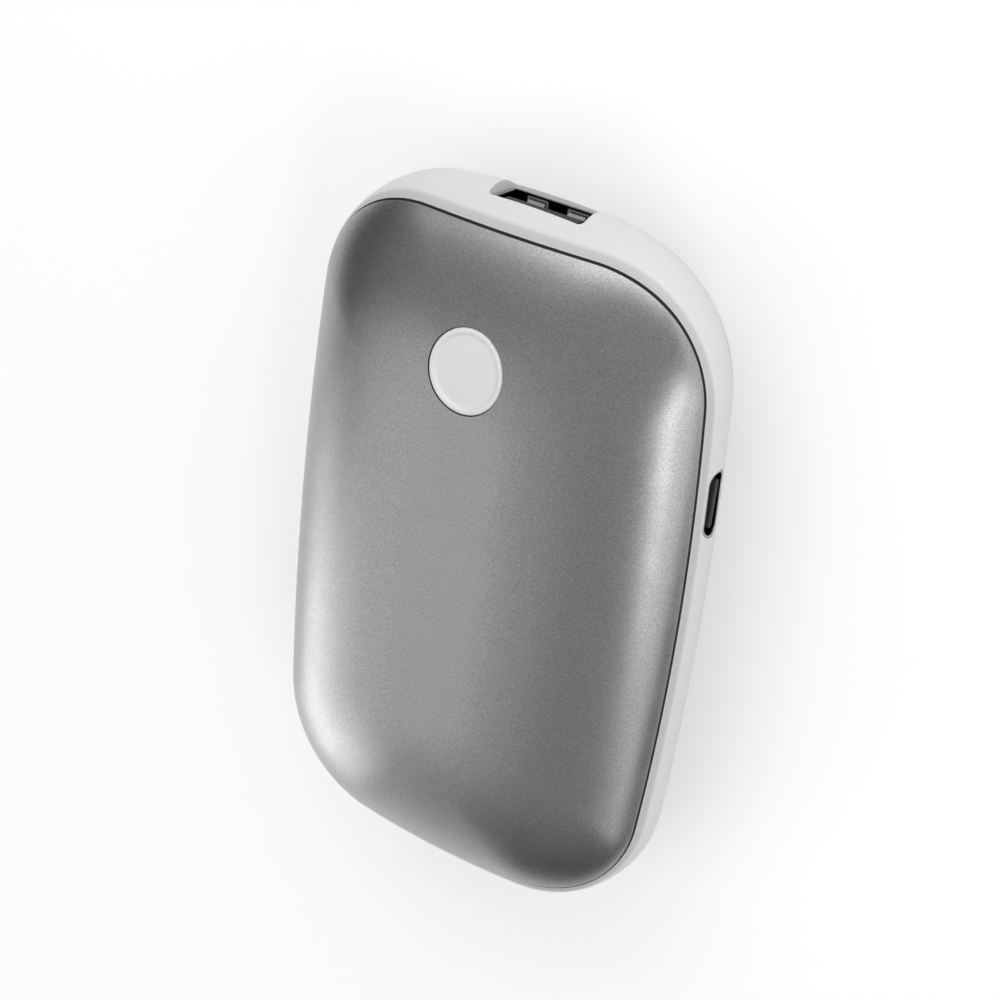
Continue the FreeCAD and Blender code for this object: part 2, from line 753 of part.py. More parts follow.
def wide_insulator_piece():
    """A rear block that fills the shell, and the tongue that the plug goes over."""
    back = "wide_shell_back + wide_shell_wall"
    rear = block("wide_rear_block", "wide_port_x", f"({back} + wide_block_front) / 2",
                 "-wide_shell_tall / 2 + wide_shell_wall", "wide_shell_wide - 2 * wide_shell_wall",
                 f"wide_block_front - ({back})", "wide_shell_tall - 2 * wide_shell_wall")
    tongue = block("wide_tongue", "wide_port_x", f"({back} + wide_tongue_end) / 2", "wide_tongue_bottom",
                   "wide_tongue_wide", f"wide_tongue_end - ({back})", "wide_tongue_tall")
    return fuse("usb_a_insulator", [rear, tongue])


usb_a_shell = wide_shell_piece()
usb_a_insulator = wide_insulator_piece()
usb_a_contacts = group("usb_a_contacts", [
    block(f"wide_contact_{n}", f"wide_port_x + {offset}",
          "(wide_block_front + wide_tongue_end - contact_short) / 2",
          "wide_tongue_bottom - wide_contact_tall", "wide_contact_wide",
          "wide_tongue_end - contact_short - wide_block_front", "wide_contact_tall")
    for n, offset in enumerate(WIDE_CONTACT_OFFSETS)
])

# Small socket


def small_shell_piece():
    owner = stadium_body("usb_c_shell", "small_shell_back", "small_shell_mouth - small_shell_back",
                         "small_shell_wide", "small_shell_tall")
    mouth = sketch_on(owner, "small_mouth", "YZ_Plane", "small_shell_mouth")
    stadium(mouth, "small_port_y", "half_depth", "small_shell_wide - 2 * small_shell_wall",
            "small_shell_tall - 2 * small_shell_wall")
    pocket(owner, mouth, "small_shell_mouth - small_shell_back - small_shell_wall")
    return owner


def small_insulator_piece():
    """A rear block and the thin tongue in the middle of the slot."""
    back = "small_shell_back + small_shell_wall"
    rear = block("small_rear_block", f"({back} + small_block_front) / 2", "small_port_y",
                 "-small_block_tall / 2", f"small_block_front - ({back})", "small_tongue_wide",
                 "small_block_tall")
    tongue = block("small_tongue", f"({back} + small_tongue_end) / 2", "small_port_y",
                   "-small_tongue_tall / 2", f"small_tongue_end - ({back})", "small_tongue_wide",
                   "small_tongue_tall")
    return fuse("usb_c_insulator", [rear, tongue])


def small_contacts():
    """Flat contacts in two rows, on both faces of the thin tongue."""
    rows = (("front", "small_tongue_tall / 2"), ("rear", "-small_tongue_tall / 2 - small_contact_tall"))
    strips = []
    for n in range(SMALL_CONTACTS):
        y = f"small_port_y + {n - (SMALL_CONTACTS - 1) / 2} * small_contact_pitch"
        for side, z in rows:
            strips.append(block(f"small_contact_{side}_{n}",
                                "(small_block_front + small_tongue_end - contact_short) / 2", y, z,
                                "small_tongue_end - contact_short - small_block_front", "small_contact_wide",
                                "small_contact_tall"))
    return group("usb_c_contacts", strips)


usb_c_shell = small_shell_piece()
usb_c_insulator = small_insulator_piece()
usb_c_contacts = small_contacts()

# Push switch


def switch_dome_piece():
    """A snap dome: the cap of a thin sphere, standing on the floor of the switch."""
    floor = "board_top + switch_floor"
    balls = []
    for label, radius in (("outer", "dome_sphere"), ("inner", "dome_sphere - dome_sheet")):
        ball = doc.addObject("Part::Sphere", f"dome_ball_{label}")
        bind(ball, "Radius", radius)
        place(ball, "0", "button_y", f"{floor} + dome_tall - dome_sphere")
        balls.append(ball)
    layer = block("dome_layer", "0", "button_y", floor, "switch_side", "switch_side", "dome_tall")
    return cut("switch_dome", common("dome_cap", [balls[0], layer]), balls[1])


switch_base = cut(
    "switch_base",
    block("switch_block", "0", "button_y", "board_top", "switch_side", "switch_side", "switch_tall"),
    pin("switch_well", "0", "button_y", "board_top + switch_floor", "switch_well_radius", "switch_tall"),
)
switch_cover = cut(
    "switch_cover",
    block("switch_plate", "0", "button_y", "board_top + switch_tall", "switch_side", "switch_side",
          "switch_cover_thick"),
    pin("switch_hole", "0", "button_y", "board_top", "plunger_hole", "half_depth"),
)
switch_dome = switch_dome_piece()
plunger_bottom = "board_top + switch_floor + dome_tall + plunger_play"
switch_plunger = fuse("switch_plunger", [
    pin("plunger_flange", "0", "button_y", plunger_bottom, "plunger_flange_radius", "plunger_flange_tall"),
    pin("plunger_stem", "0", "button_y", plunger_bottom, "plunger_radius",
        f"plunger_top - ({plunger_bottom})"),
])

# Parts on the board

power_inductor = cut(
    "power_inductor",
    block("inductor_block", "inductor_x", "inductor_y", "board_top", "inductor_side", "inductor_side",
          "inductor_tall"),
    pin("inductor_dimple", "inductor_x", "inductor_y", "board_top + inductor_tall - dimple_deep",
        "dimple_radius", "inductor_tall"),
)


def chip(name):
    return block(name, f"{name}_x", "chip_y", "board_top", "chip_side", "chip_side", "chip_tall")


charger_chip = chip("charger_chip")
controller_chip = chip("controller_chip")
capacitors = group("capacitors", [
    block(f"capacitor_{n}", x, y, "board_top", "capacitor_long", "capacitor_wide", "capacitor_tall")
    for n, (x, y) in enumerate(CAPACITOR_PLACES)
])
indicator_leds = group("indicator_leds", [
    block(f"led_{n}", f"{across} * led_x", f"button_y + {along} * led_y", "board_top", "led_long", "led_wide",
          "led_tall")
    for n, (across, along) in enumerate(((-1, -1), (1, -1), (-1, 1), (1, 1)))
])
heater_sockets = group("heater_sockets", [
    block(f"heater_socket_{side}", "0", f"{side}_socket_y", "board_top", "heater_socket_wide",
          "heater_socket_deep", "heater_socket_tall")
    for side in ("front", "rear")
])
battery_socket = block("battery_socket", "battery_socket_x", "battery_socket_y", "board_top",
                       "battery_socket_wide", "battery_socket_deep", "battery_socket_tall")

# Cell


def cell_piece():
    """A pouch cell with rounded long edges, lying on the web."""
    owner = body("battery_cell")
    sketch = sketch_on(owner, "cell_outline", "XY_Plane", "half_depth + web_top")
    rectangle(sketch, "-cell_wide / 2", "cell_low", "cell_wide / 2", "cell_high")
    pad(owner, sketch, "cell_tall")
    round_edges(owner, "cell_edges", "cell_round", lambda edge: runs_along(edge, 1))
    return owner


def lead(name, x):
    """A straight lead from the cell's board to the battery socket."""
    start = "cell_high + cell_board_gap + cell_board_thick"
    wire = doc.addObject("Part::Cylinder", name)
    bind(wire, "Radius", "lead_radius")
    bind(wire, "Height", f"battery_socket_y - battery_socket_deep / 2 - ({start})")
    wire.Placement.Rotation = FreeCAD.Rotation(FreeCAD.Vector(1, 0, 0), -90)
    place(wire, x, start, "lead_height")
    return wire


battery_cell = cell_piece()
cell_board = block("cell_board", "0", "cell_high + cell_board_gap + cell_board_thick / 2", "cell_board_low",
                   "cell_board_wide", "cell_board_thick", "cell_board_tall")
cell_tabs = group("cell_tabs", [
    block(f"cell_tab_{n}", x, "cell_high + cell_board_gap / 2", "tab_height", "tab_wide", "cell_board_gap",
          "tab_tall")
    for n, x in enumerate(("-tab_x", "tab_x"))
])
battery_lead_positive = lead("battery_lead_positive", "battery_socket_x - lead_spread")
battery_lead_negative = lead("battery_lead_negative", "battery_socket_x + lead_spread")

# Heating films and foam


def rounded_sheet(name, z, half_wide, low, high, tall, corner):
    """A flat sheet or slab with rounded upright corners, standing on z."""
    owner = body(name)
    sketch = sketch_on(owner, f"{name}_outline", "XY_Plane", f"half_depth + ({z})")
    rectangle(sketch, f"-{half_wide}", low, half_wide, high)
    pad(owner, sketch, tall)
    round_edges(owner, f"{name}_corners", corner, lambda edge: runs_along(edge, 2))
    return owner


def tail(name, corners):
    """A flat tail bent from strip: the corners run round its profile, bends inside and outside."""
    owner = body(name)
    sketch = sketch_on(owner, f"{name}_profile", "YZ_Plane", "0")
    polygon(sketch, corners)
    pad(owner, sketch, "tail_wide", midplane=True)
    return owner


def bend(owner, name, radius, places):
    """Round the tail's bends that stand at the given places of its profile."""
    spots = [(number(y), number(z)) for y, z in places]

    def wanted(edge):
        middle = edge.CenterOfMass
        return runs_along(edge, 0) and any(math.hypot(middle.y - y, middle.z - z) < 1e-3 for y, z in spots)

    round_edges(owner, name, radius, wanted)


def front_tail_piece():
    film_face = "half_depth + pocket_roof - film_thick"
    inner_face = f"{film_face} - tail_sheet"
    far, near = "front_tail_y + tail_sheet / 2", "front_tail_y - tail_sheet / 2"
    seat = "half_depth + board_top + heater_socket_tall"
    lap = "front_film_high - tail_lap"
    owner = tail("front_heater_tail", [
        (lap, film_face), (far, film_face), (far, seat), (near, seat), (near, inner_face), (lap, inner_face),
    ])
    bend(owner, "front_tail_outer_bend", "tail_bend + tail_sheet", [(far, film_face)])
    bend(owner, "front_tail_inner_bend", "tail_bend", [(near, inner_face)])
    return owner


def rear_tail_piece():
    film_face = "half_depth - pocket_roof + film_thick"
    inner_face = f"{film_face} + tail_sheet"
    far, near = "rear_tail_y - tail_sheet / 2", "rear_tail_y + tail_sheet / 2"
    under = "half_depth + board_top + rear_tail_height"
    over = f"{under} + tail_sheet"
    seat = "rear_socket_y - heater_socket_deep / 2"
    owner = tail("rear_heater_tail", [
        (seat, film_face), (seat, inner_face), (near, inner_face), (near, under), (seat, under), (seat, over),
        (far, over), (far, film_face),
    ])
    bend(owner, "rear_tail_outer_bends", "tail_bend + tail_sheet", [(far, over), (far, film_face)])
    bend(owner, "rear_tail_inner_bends", "tail_bend", [(near, inner_face), (near, under)])
    return owner


front_heater = rounded_sheet("front_heater", "pocket_roof - film_thick", "film_half_width", "film_low",
                             "front_film_high", "film_thick", "film_corner")
rear_heater = rounded_sheet("rear_heater", "-pocket_roof", "film_half_width", "film_low", "rear_film_high",
                            "film_thick", "film_corner")
front_heater_tail = front_tail_piece()
rear_heater_tail = rear_tail_piece()
front_pad = rounded_sheet("front_pad", "web_top + cell_tall", "foam_half_width", "foam_low", "foam_high",
                          "pocket_roof - film_thick - web_top - cell_tall", "film_corner")
rear_pad = rounded_sheet("rear_pad", "film_thick - pocket_roof", "foam_half_width", "foam_low", "foam_high",
                         "pocket_roof - film_thick + web_top - web_thick", "film_corner")
thermistors = group("thermistors", [
    block("thermistor_front", "0", "front_bead_y", "pocket_roof - film_thick - bead_tall", "bead_long",
          "bead_wide", "bead_tall"),
    block("thermistor_rear", "0", "rear_bead_y", "film_thick - pocket_roof", "bead_long", "bead_wide",
          "bead_tall"),
])

NODES = [
    front_cover, rear_cover, mid_frame, front_gasket, rear_gasket, power_button, button_guide, guide_screws,
    board_screws, main_board, usb_a_shell, usb_a_insulator, usb_a_contacts, usb_c_shell, usb_c_insulator,
    usb_c_contacts, switch_base, switch_cover, switch_dome, switch_plunger, power_inductor, charger_chip,
    controller_chip, capacitors, indicator_leds, heater_sockets, battery_socket, battery_cell, cell_board,
    cell_tabs, battery_lead_positive, battery_lead_negative, front_heater, rear_heater, front_heater_tail,
    rear_heater_tail, front_pad, rear_pad, thermistors,
]

doc.recompute()
for item in doc.Objects:
    if "Invalid" in item.State or "Error" in item.State:
        raise RuntimeError(f"{item.Name} failed")
for item in NODES:
    item.Label = item.Name
    if item.Shape.isNull() or not item.Shape.isValid() or not item.Shape.Solids:
        raise RuntimeError(f"{item.Label} has no valid solid")

os.makedirs("parts", exist_ok=True)
for item in NODES:
    item.Shape.exportStep(f"parts/{item.Label}.step")
    print(item.Label, len(item.Shape.Solids), round(item.Shape.Volume, 2))
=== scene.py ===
"""Looks of a pebble-shaped rechargeable hand warmer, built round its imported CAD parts.

Two blasted aluminium covers close on a white moulded band. Both follow the same pebble: level
outlines of eight tangent arcs that shrink towards the flat lands at the front and the back.
"""

import math

import bpy
from bpy.props import FloatProperty, FloatVectorProperty, IntProperty, PointerProperty
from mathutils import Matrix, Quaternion, Vector


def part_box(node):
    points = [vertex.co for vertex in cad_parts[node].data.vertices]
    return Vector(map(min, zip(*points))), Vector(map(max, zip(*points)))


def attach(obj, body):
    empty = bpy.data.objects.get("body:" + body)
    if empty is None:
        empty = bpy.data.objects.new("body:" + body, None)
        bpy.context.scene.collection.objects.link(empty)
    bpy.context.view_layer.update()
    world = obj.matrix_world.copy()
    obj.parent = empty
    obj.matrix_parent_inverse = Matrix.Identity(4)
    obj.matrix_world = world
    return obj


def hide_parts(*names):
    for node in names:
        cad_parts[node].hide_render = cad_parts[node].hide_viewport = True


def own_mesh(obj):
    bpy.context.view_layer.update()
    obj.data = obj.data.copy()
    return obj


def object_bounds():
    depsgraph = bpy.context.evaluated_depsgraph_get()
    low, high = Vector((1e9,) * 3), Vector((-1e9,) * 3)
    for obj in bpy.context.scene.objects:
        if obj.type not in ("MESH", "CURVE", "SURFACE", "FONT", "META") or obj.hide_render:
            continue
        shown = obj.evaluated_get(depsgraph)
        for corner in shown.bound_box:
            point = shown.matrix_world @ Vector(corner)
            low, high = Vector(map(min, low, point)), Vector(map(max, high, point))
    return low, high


bl_info = {
    "name": "Hand Warmer Looks",
    "version": (1, 0, 0),
    "blender": (4, 5, 0),
    "location": "3D View > Sidebar > Hand Warmer",
    "description": "Models the covers, band, button and studio of a pebble-shaped hand warmer",
    "category": "Object",
}

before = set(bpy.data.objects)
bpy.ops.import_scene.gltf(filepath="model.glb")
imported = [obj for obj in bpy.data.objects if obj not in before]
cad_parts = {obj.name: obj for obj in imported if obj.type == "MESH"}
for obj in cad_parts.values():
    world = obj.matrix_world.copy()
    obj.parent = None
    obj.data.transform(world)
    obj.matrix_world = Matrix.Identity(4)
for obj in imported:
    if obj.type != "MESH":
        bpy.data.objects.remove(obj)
CAD_LOW, CAD_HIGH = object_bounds()
MIDDLE = (CAD_LOW.z + CAD_HIGH.z) / 2
MM = 0.001
SHEET_DEPTH = "sheet_depth"


def centre_of(node):
    """Middle of a CAD node's box."""
    low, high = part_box(node)
    return (low + high) / 2


def size_of(node):
    """Size of a CAD node's box."""
    low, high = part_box(node)
    return high - low


def length(name, description, millimetres):
    """A size property that shows as a length."""
    return FloatProperty(name=name, description=description, default=millimetres * MM, unit="LENGTH",
                         precision=5)


def number(name, description, value):
    """A plain number property."""
    return FloatProperty(name=name, description=description, default=value)


def factor(name, description, value):
    """A property between nought and one."""
    return FloatProperty(name=name, description=description, default=value, min=0, max=1, subtype="FACTOR")


def steps(name, description, value):
    """A property that counts rows or columns."""
    return IntProperty(name=name, description=description, default=value, min=4)


def colour(name, description, value):
    """A colour property."""
    return FloatVectorProperty(name=name, description=description, default=value, subtype="COLOR", min=0,
                               max=1)


class WarmerSizes(bpy.types.PropertyGroup):
    """Sizes of the pebble, its seams and the pieces modelled here."""

    half_width: length("Half width", "From the middle to the widest point of a side", CAD_HIGH.x / MM)
    half_length: length("Half length", "From the middle to the end without a socket", -CAD_LOW.y / MM)
    half_depth: length("Half depth", "From the middle plane to the land of a cover",
                       (CAD_HIGH.z - CAD_LOW.z) / 2 / MM)
    corner_radius: length("Corner radius", "Plan corner at the middle plane", 21)
    land_radius: length("Land radius", "Plan corner at the flat land", 5)
    side_bow: length("Side bow", "Radius of the bowed long sides", 466)
    end_bow: length("End bow", "Radius of the bowed ends", 118)
    edge_reach: length("Edge reach", "How far the rounded edge reaches in from the outline", 25.6)
    edge_power: number("Edge power", "Fullness of the rounded edge", 1.081)
    corner_fade: number("Corner fade", "How fast corners tighten from the middle plane over the band", 4.66)
    corner_ease: number("Corner ease", "Share of the corner rounding that a cover keeps", 0.7875)
    corner_blend: number("Corner blend", "How sharply the band's corners pass into a cover's", 16)
    seam_crest: length("Seam crest", "Height of a seam over the middle plane, half way across", 6.15)
    seam_bow: length("Seam bow", "Radius of the arch that a seam follows across the width", 144)
    seam_gap: length("Seam gap", "Open groove between a cover and the band", 0.3)
    cover_wall: length("Cover wall", "Thickness of a cover", 1.5)
    cover_edge: length("Cover edge", "Rounding of a cover's rim", 0.12)
    band_wall: length("Band wall", "Depth of the band's rims", 3.0)
    band_edge: length("Band edge", "Rounding of the band beside a seam", 0.5)
    seal_fill: factor("Seal fill", "Share of a seam's width that its seal fills", 0.98)
    # A seal lies only this far below the skin so that its black also shows as the seams' shade line.
    seal_drop: length("Seal drop", "How far a seal lies below the skin", 0.1)
    seal_depth: length("Seal depth", "Width of a seal, in from the skin", 1.6)
    hole_play: length("Hole play", "Gap round the button", 0.1)
    dish_radius: length("Dish radius", "Radius of the button's shallow dish", 4.35)
    dish_slope: length("Dish slope", "Width of the step from the dish up to the rim", 0.65)
    dish_drop: length("Dish drop", "Depth of the dish", 0.3)
    rim_flat: length("Rim flat", "Width of the level top of the button's rim", 0.168)
    button_edge: length("Button edge", "Rounding of the button's rim", 0.28)
    flange_top: length("Flange top", "Upper face of the button's flange over the middle plane", 8.9)
    flange_foot: length("Flange foot", "Lower face of the button's flange over the middle plane", 8.0)
    stem_radius: length("Stem radius", "Radius of the button's stem", 2.2)
    socket_edge: length("Socket edge", "Rounding at the mouth of a socket opening", 0.14)
    wide_opening: length("Wide opening", "Width of the opening for the wide socket", 13.9)
    wide_height: length("Wide opening height", "Height of the opening for the wide socket", 5.9)
    wide_corner: length("Wide opening corner", "Corner radius of the wide opening", 0.7)
    small_opening: length("Small opening", "Length of the opening for the small socket", 9.1)
    small_height: length("Small opening height", "Height of the opening for the small socket", 3.56)
    small_play: length("Small shell play", "Gap between the small socket's shell and its opening", 0.03)
    small_wall: length("Small shell wall", "Sheet round the mouth of the small socket", 0.3)
    small_drop: length("Small shell drop", "How far the small socket's lip lies below the skin", 0.1)
    tongue_drop: length("Tongue drop", "How far the small socket's tongue lies below the skin", 0.3)
    tongue_wide: length("Tongue width", "Width of the small socket's tongue", 6.7)
    tongue_tall: length("Tongue height", "Height of the small socket's tongue", 0.9)
    tongue_edge: length("Tongue edge", "Rounding of the tongue's tip", 0.15)
    dome_sheet: length("Dome sheet", "Thickness of the switch's snap dome", 0.1)
    dome_travel: length("Dome travel", "How far the crown of the snap dome goes down", 0.27)
    corner_steps: steps("Corner steps", "Columns round each corner", 32)
    side_steps: steps("Side steps", "Columns along each long side", 40)
    end_steps: steps("End steps", "Columns along each end", 28)
    cover_rows: steps("Cover rows", "Rows from a seam to the land", 56)
    band_rows: steps("Band rows", "Rows from one seam to the other", 36)


class WarmerFinish(bpy.types.PropertyGroup):
    """Colours and light of the finished hand warmer."""

    metal: colour("Cover metal", "Blasted grey aluminium", (0.34, 0.34, 0.345))
    band: colour("Band plastic", "White moulding", (0.75, 0.75, 0.76))
    button: colour("Button plastic", "White moulding of the button", (0.84, 0.84, 0.845))
    steel: colour("Socket steel", "Plated sheet of the socket shells", (0.42, 0.42, 0.43))
    floor: colour("Floor", "Pale studio floor", (0.8, 0.8, 0.8))
    metal_roughness: factor("Metal roughness", "Blur of reflections on the covers", 0.31)
    band_roughness: factor("Band roughness", "Blur of reflections on the band", 0.5)
    # Painted shade: the strip beside each seam is painted darker, standing in for the shade on the band's
    # rounded edge.
    painted_strip_shade: factor("Strip shade", "Brightness of the dull strip beside a seam, against the band", 0.76)
    floor_near: factor("Floor glow near", "White that the floor gives off round the object", 0.35)
    floor_far: factor("Floor glow far", "White that the floor gives off far from the object", 0.65)
    sky_level: factor("Sky", "Light of the studio straight overhead", 0.48)
    horizon_level: factor("Horizon", "Light of the studio along the horizon", 0.4)


# Pebble surface


def last_true(test, low, high):
    """The value up to which a test holds, found by halving."""
    for _ in range(40):
        middle = (low + high) / 2
        if test(middle):
            low = middle
        else:
            high = middle
    return (low + high) / 2


class Pebble:
    """The pebble's surface as columns of points, each from one land to the other over a level angle."""

    def __init__(self, s):
        self.s = s
        self.columns = []
        for arc, count in enumerate((s.side_steps, s.corner_steps, s.end_steps, s.corner_steps) * 2):
            self.columns += [(arc, step / count) for step in range(count)]

    def level(self, angle, inset):
        """Arc centres, radii and turns of one level, and its height."""
        s = self.s
        reach = 1 - abs(math.cos(angle)) ** s.edge_power
        rise = math.copysign(abs(math.sin(angle)) ** s.edge_power, angle)
        fade = self.corner_share(abs(math.cos(angle)))
        corner = s.land_radius * (1 - fade) + s.corner_radius * fade - inset
        side = s.side_bow - s.edge_reach * reach - inset
        end = s.end_bow - s.edge_reach * reach - inset
        side_in, end_in = s.side_bow - s.half_width, s.end_bow - s.half_length
        gap = math.hypot(side_in, end_in)
        to_side, to_end = side - corner, end - corner
        along = (to_side ** 2 - to_end ** 2 + gap ** 2) / (2 * gap)
        across = math.sqrt(to_side ** 2 - along ** 2)
        x = -side_in + (side_in * along + end_in * across) / gap
        y = (-end_in * along + side_in * across) / gap
        side_turn, end_turn = math.atan2(y, x + side_in), math.atan2(y + end_in, x)
        half = math.pi
        arcs = (
            (-side_in, 0, side, -side_turn, side_turn),
            (x, y, corner, side_turn, end_turn),
            (0, -end_in, end, end_turn, half - end_turn),
            (-x, y, corner, half - end_turn, half - side_turn),
            (side_in, 0, side, half - side_turn, half + side_turn),
            (-x, -y, corner, half + side_turn, half + end_turn),
            (0, end_in, end, half + end_turn, 2 * half - end_turn),
            (x, -y, corner, 2 * half - end_turn, 2 * half - side_turn),
        )
        return arcs, MIDDLE + s.half_depth * rise - inset * rise

    def corner_share(self, low):
        """Share of the full corner rounding at a level, from the cosine of its angle.

        It fades fast over the band and then slowly over a cover."""
        s = self.s
        blend = s.corner_blend
        fast, slow = low ** (s.corner_fade * blend), (s.corner_ease * low) ** blend
        return ((fast + slow) / (1 + s.corner_ease ** blend)) ** (1 / blend)

    def point(self, column, angle, inset=0.0):
        """The point of one column at a level angle."""
        arcs, height = self.level(angle, inset)
        arc, share = column
        x, y, radius, start, stop = arcs[arc]
        turn = start + (stop - start) * share
        return Vector((x + radius * math.cos(turn), y + radius * math.sin(turn), height))

    def seam_height(self, x, side, offset):
        """Height of a seam at a place across the width, moved off the middle of its groove."""
        s = self.s
        bow = s.seam_bow + offset
        return MIDDLE + side * (s.seam_crest - s.seam_bow + math.sqrt(bow ** 2 - x ** 2))

    def seam_angle(self, column, side, offset, inset=0.0):
        """The level angle at which a column meets a seam."""
        def below(angle):
            spot = self.point(column, side * angle, inset)
            return side * (spot.z - self.seam_height(spot.x, side, offset)) < 0

        return side * last_true(below, 0.0, math.pi / 2)

    def ring(self, angles, inset=0.0):
        """One ring of points, with an angle for each column."""
        return [self.point(column, angle, inset) for column, angle in zip(self.columns, angles)]

    def seam_ring(self, side, offset, inset=0.0):
        """The ring where the pebble, or one inside it, meets a seam."""
        return self.ring([self.seam_angle(column, side, offset, inset) for column in self.columns], inset)

    def moved_angles(self, angles, distance):
        """Angles of points that lie a distance up or down the surface from the given ones."""
        nudge = 1e-3
        moved = []
        for column, angle in zip(self.columns, angles):
            pace = (self.point(column, angle + nudge) - self.point(column, angle)).length / nudge
            moved.append(angle + distance / pace)
        return moved

    def rounded_rim(self, side, offset, way, edge):
        """Rings of a rounded seam edge from the rim's face to the skin, and the angles where they end.

        way is the side of the seam that the skin lies on: 1 for a cover and -1 for the band."""
        tips = [self.seam_angle(column, side, offset) for column in self.columns]
        stops = self.moved_angles(tips, way * side * edge)
        tip, skin, face = self.ring(tips), self.ring(stops), self.seam_ring(side, offset, edge)
        rings = []
        rows = 10
        for row in range(rows):
            share = row / rows
            near, mid, far = (1 - share) ** 2, 2 * share * (1 - share), share ** 2
            rings.append([a * near + b * mid + c * far for a, b, c in zip(face, tip, skin)])
        return rings, stops

    def skin_out(self, axis, along, height):
        """How far out the skin lies, on a long side (axis 0) or an end (axis 1)."""
        s = self.s
        rise = abs(height - MIDDLE) / s.half_depth
        arcs, _ = self.level(math.asin(rise ** (1 / s.edge_power)), 0.0)
        arc = arcs[2 * axis]
        return arc[axis] + math.sqrt(arc[2] ** 2 - along ** 2)

    def top_height(self, x, y):
        """Height of the front surface over a place in plan."""
        s = self.s

        def inside(angle):
            arcs, _ = self.level(angle, 0.0)
            side_x, _, side, _, _ = arcs[0]
            corner_x, corner_y, corner, side_turn, end_turn = arcs[1]
            _, end_y, end, _, _ = arcs[2]
            px, py = abs(x), abs(y)
            turn = math.atan2(py - corner_y, px - corner_x)
            if px > corner_x and py > corner_y and side_turn < turn < end_turn:
                return math.hypot(px - corner_x, py - corner_y) <= corner
            return math.hypot(px - side_x, py) <= side and math.hypot(px, py - end_y) <= end

        return MIDDLE + s.half_depth * math.sin(last_true(inside, 0.0, math.pi / 2)) ** s.edge_power


# Modelling helpers


def rounded_outline(wide, tall, corner):
    """Points round an oblong with rounded corners, about its middle, on its straight runs too."""
    corner_steps, straight_steps = 14, 16
    arcs = []
    for quarter, (right, up) in enumerate(((1, 1), (-1, 1), (-1, -1), (1, -1))):
        x, y = right * (wide / 2 - corner), up * (tall / 2 - corner)
        turns = [(quarter + step / corner_steps) * math.pi / 2 for step in range(corner_steps + 1)]
        arcs.append([Vector((x + corner * math.cos(turn), y + corner * math.sin(turn))) for turn in turns])
    shortest = 0.01 * corner
    spots = []
    for arc, following in zip(arcs, arcs[1:] + arcs[:1]):
        spots += arc
        start, stop = arc[-1], following[0]
        if (stop - start).length > shortest:
            spots += [start.lerp(stop, step / straight_steps) for step in range(1, straight_steps)]
    return spots


def round_spots(middle, radius, count):
    """Places in plan round a circle."""
    turns = [2 * math.pi * step / count for step in range(count)]
    return [(middle.x + radius * math.cos(turn), middle.y + radius * math.sin(turn)) for turn in turns]


def flat_ring(middle, radius, height, count):
    """A level round ring of points."""
    return [Vector((x, y, height)) for x, y in round_spots(middle, radius, count)]


def deselect():
    """Nothing selected, object mode."""
    if bpy.context.object and bpy.context.object.mode != "OBJECT":
        bpy.ops.object.mode_set(mode="OBJECT")
    bpy.ops.object.select_all(action="DESELECT")


def pick(piece):
    """Make one object the only selected one."""
    deselect()
    piece.select_set(True)
    bpy.context.view_layer.objects.active = piece


def apply_modifier(piece, kind, **values):
    """Add a modifier, set it and apply it."""
    pick(piece)
    modifier = piece.modifiers.new(kind.title(), kind)
    for name, value in values.items():
        setattr(modifier, name, value)
    bpy.ops.object.modifier_apply(modifier=modifier.name)


def volume(mesh):
    """Signed volume of a closed mesh: below zero when its faces point inwards."""
    total = 0.0
    mesh.calc_loop_triangles()
    for triangle in mesh.loop_triangles:
        a, b, c = (mesh.vertices[index].co for index in triangle.vertices)
        total += a.dot(b.cross(c)) / 6
    return total


def wrap_grid(name, rings, loop=False):
    """A closed grid wrapped round a stack of rings, which is looped or drawn to a pole at both ends."""
    if not loop:
        low, high = ([sum(ring, Vector()) / len(ring)] * len(ring) for ring in (rings[0], rings[-1]))
        rings = [low, *rings, high]
    columns, rows = len(rings[0]), len(rings)
    deselect()
    bpy.ops.mesh.primitive_grid_add(x_subdivisions=columns, y_subdivisions=rows - 1, size=1)
    piece = bpy.context.object
    piece.name = piece.data.name = name
    spots = [ring[index % columns] for ring in rings for index in range(columns + 1)]
    piece.data.vertices.foreach_set("co", [value for spot in spots for value in spot])
    bpy.ops.object.mode_set(mode="EDIT")
    bpy.ops.mesh.select_all(action="SELECT")
    bpy.ops.mesh.remove_doubles(threshold=1e-7)
    bpy.ops.mesh.normals_make_consistent(inside=False)
    bpy.ops.object.mode_set(mode="OBJECT")
    if volume(piece.data) < 0:
        bpy.ops.object.mode_set(mode="EDIT")
        bpy.ops.mesh.flip_normals()
        bpy.ops.object.mode_set(mode="OBJECT")
    return piece


def smooth(piece, degrees=30):
    """Smooth shading that keeps the sharper edges."""
    pick(piece)
    bpy.ops.object.shade_smooth_by_angle(angle=math.radians(degrees))


def cut_away(piece, cutter):
    """Cut one piece with another and remove the cutter."""
    apply_modifier(piece, "BOOLEAN", operation="DIFFERENCE", solver="EXACT", object=cutter)
    bpy.data.objects.remove(cutter)


def finish_piece(piece, material, slot, body, *nodes):
    """Give a piece its material and its place in the frame."""
    piece.data.materials.clear()
    piece.data.materials.append(material)
    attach(piece, body)
    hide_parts(*nodes)


def dress(node, material):
    """Give a CAD node a material."""
    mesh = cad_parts[node].data
    mesh.materials.clear()
    mesh.materials.append(material)


def sizes():
    """The scene's sizes."""
    return bpy.context.scene.warmer_sizes


def finish():
    """The scene's colours and light."""
    return bpy.context.scene.warmer_finish


# Materials


def link(tree, source, target):
    """Join two node sockets."""
    tree.links.new(source, target)


def math_node(tree, operation, first, second=0.0):
    """A maths node on sockets or plain values."""
    node = tree.nodes.new("ShaderNodeMath")
    node.operation = operation
    for entry, value in zip(node.inputs, (first, second)):
        if isinstance(value, (int, float)):
            entry.default_value = value
        else:
            link(tree, value, entry)
    return node.outputs[0]


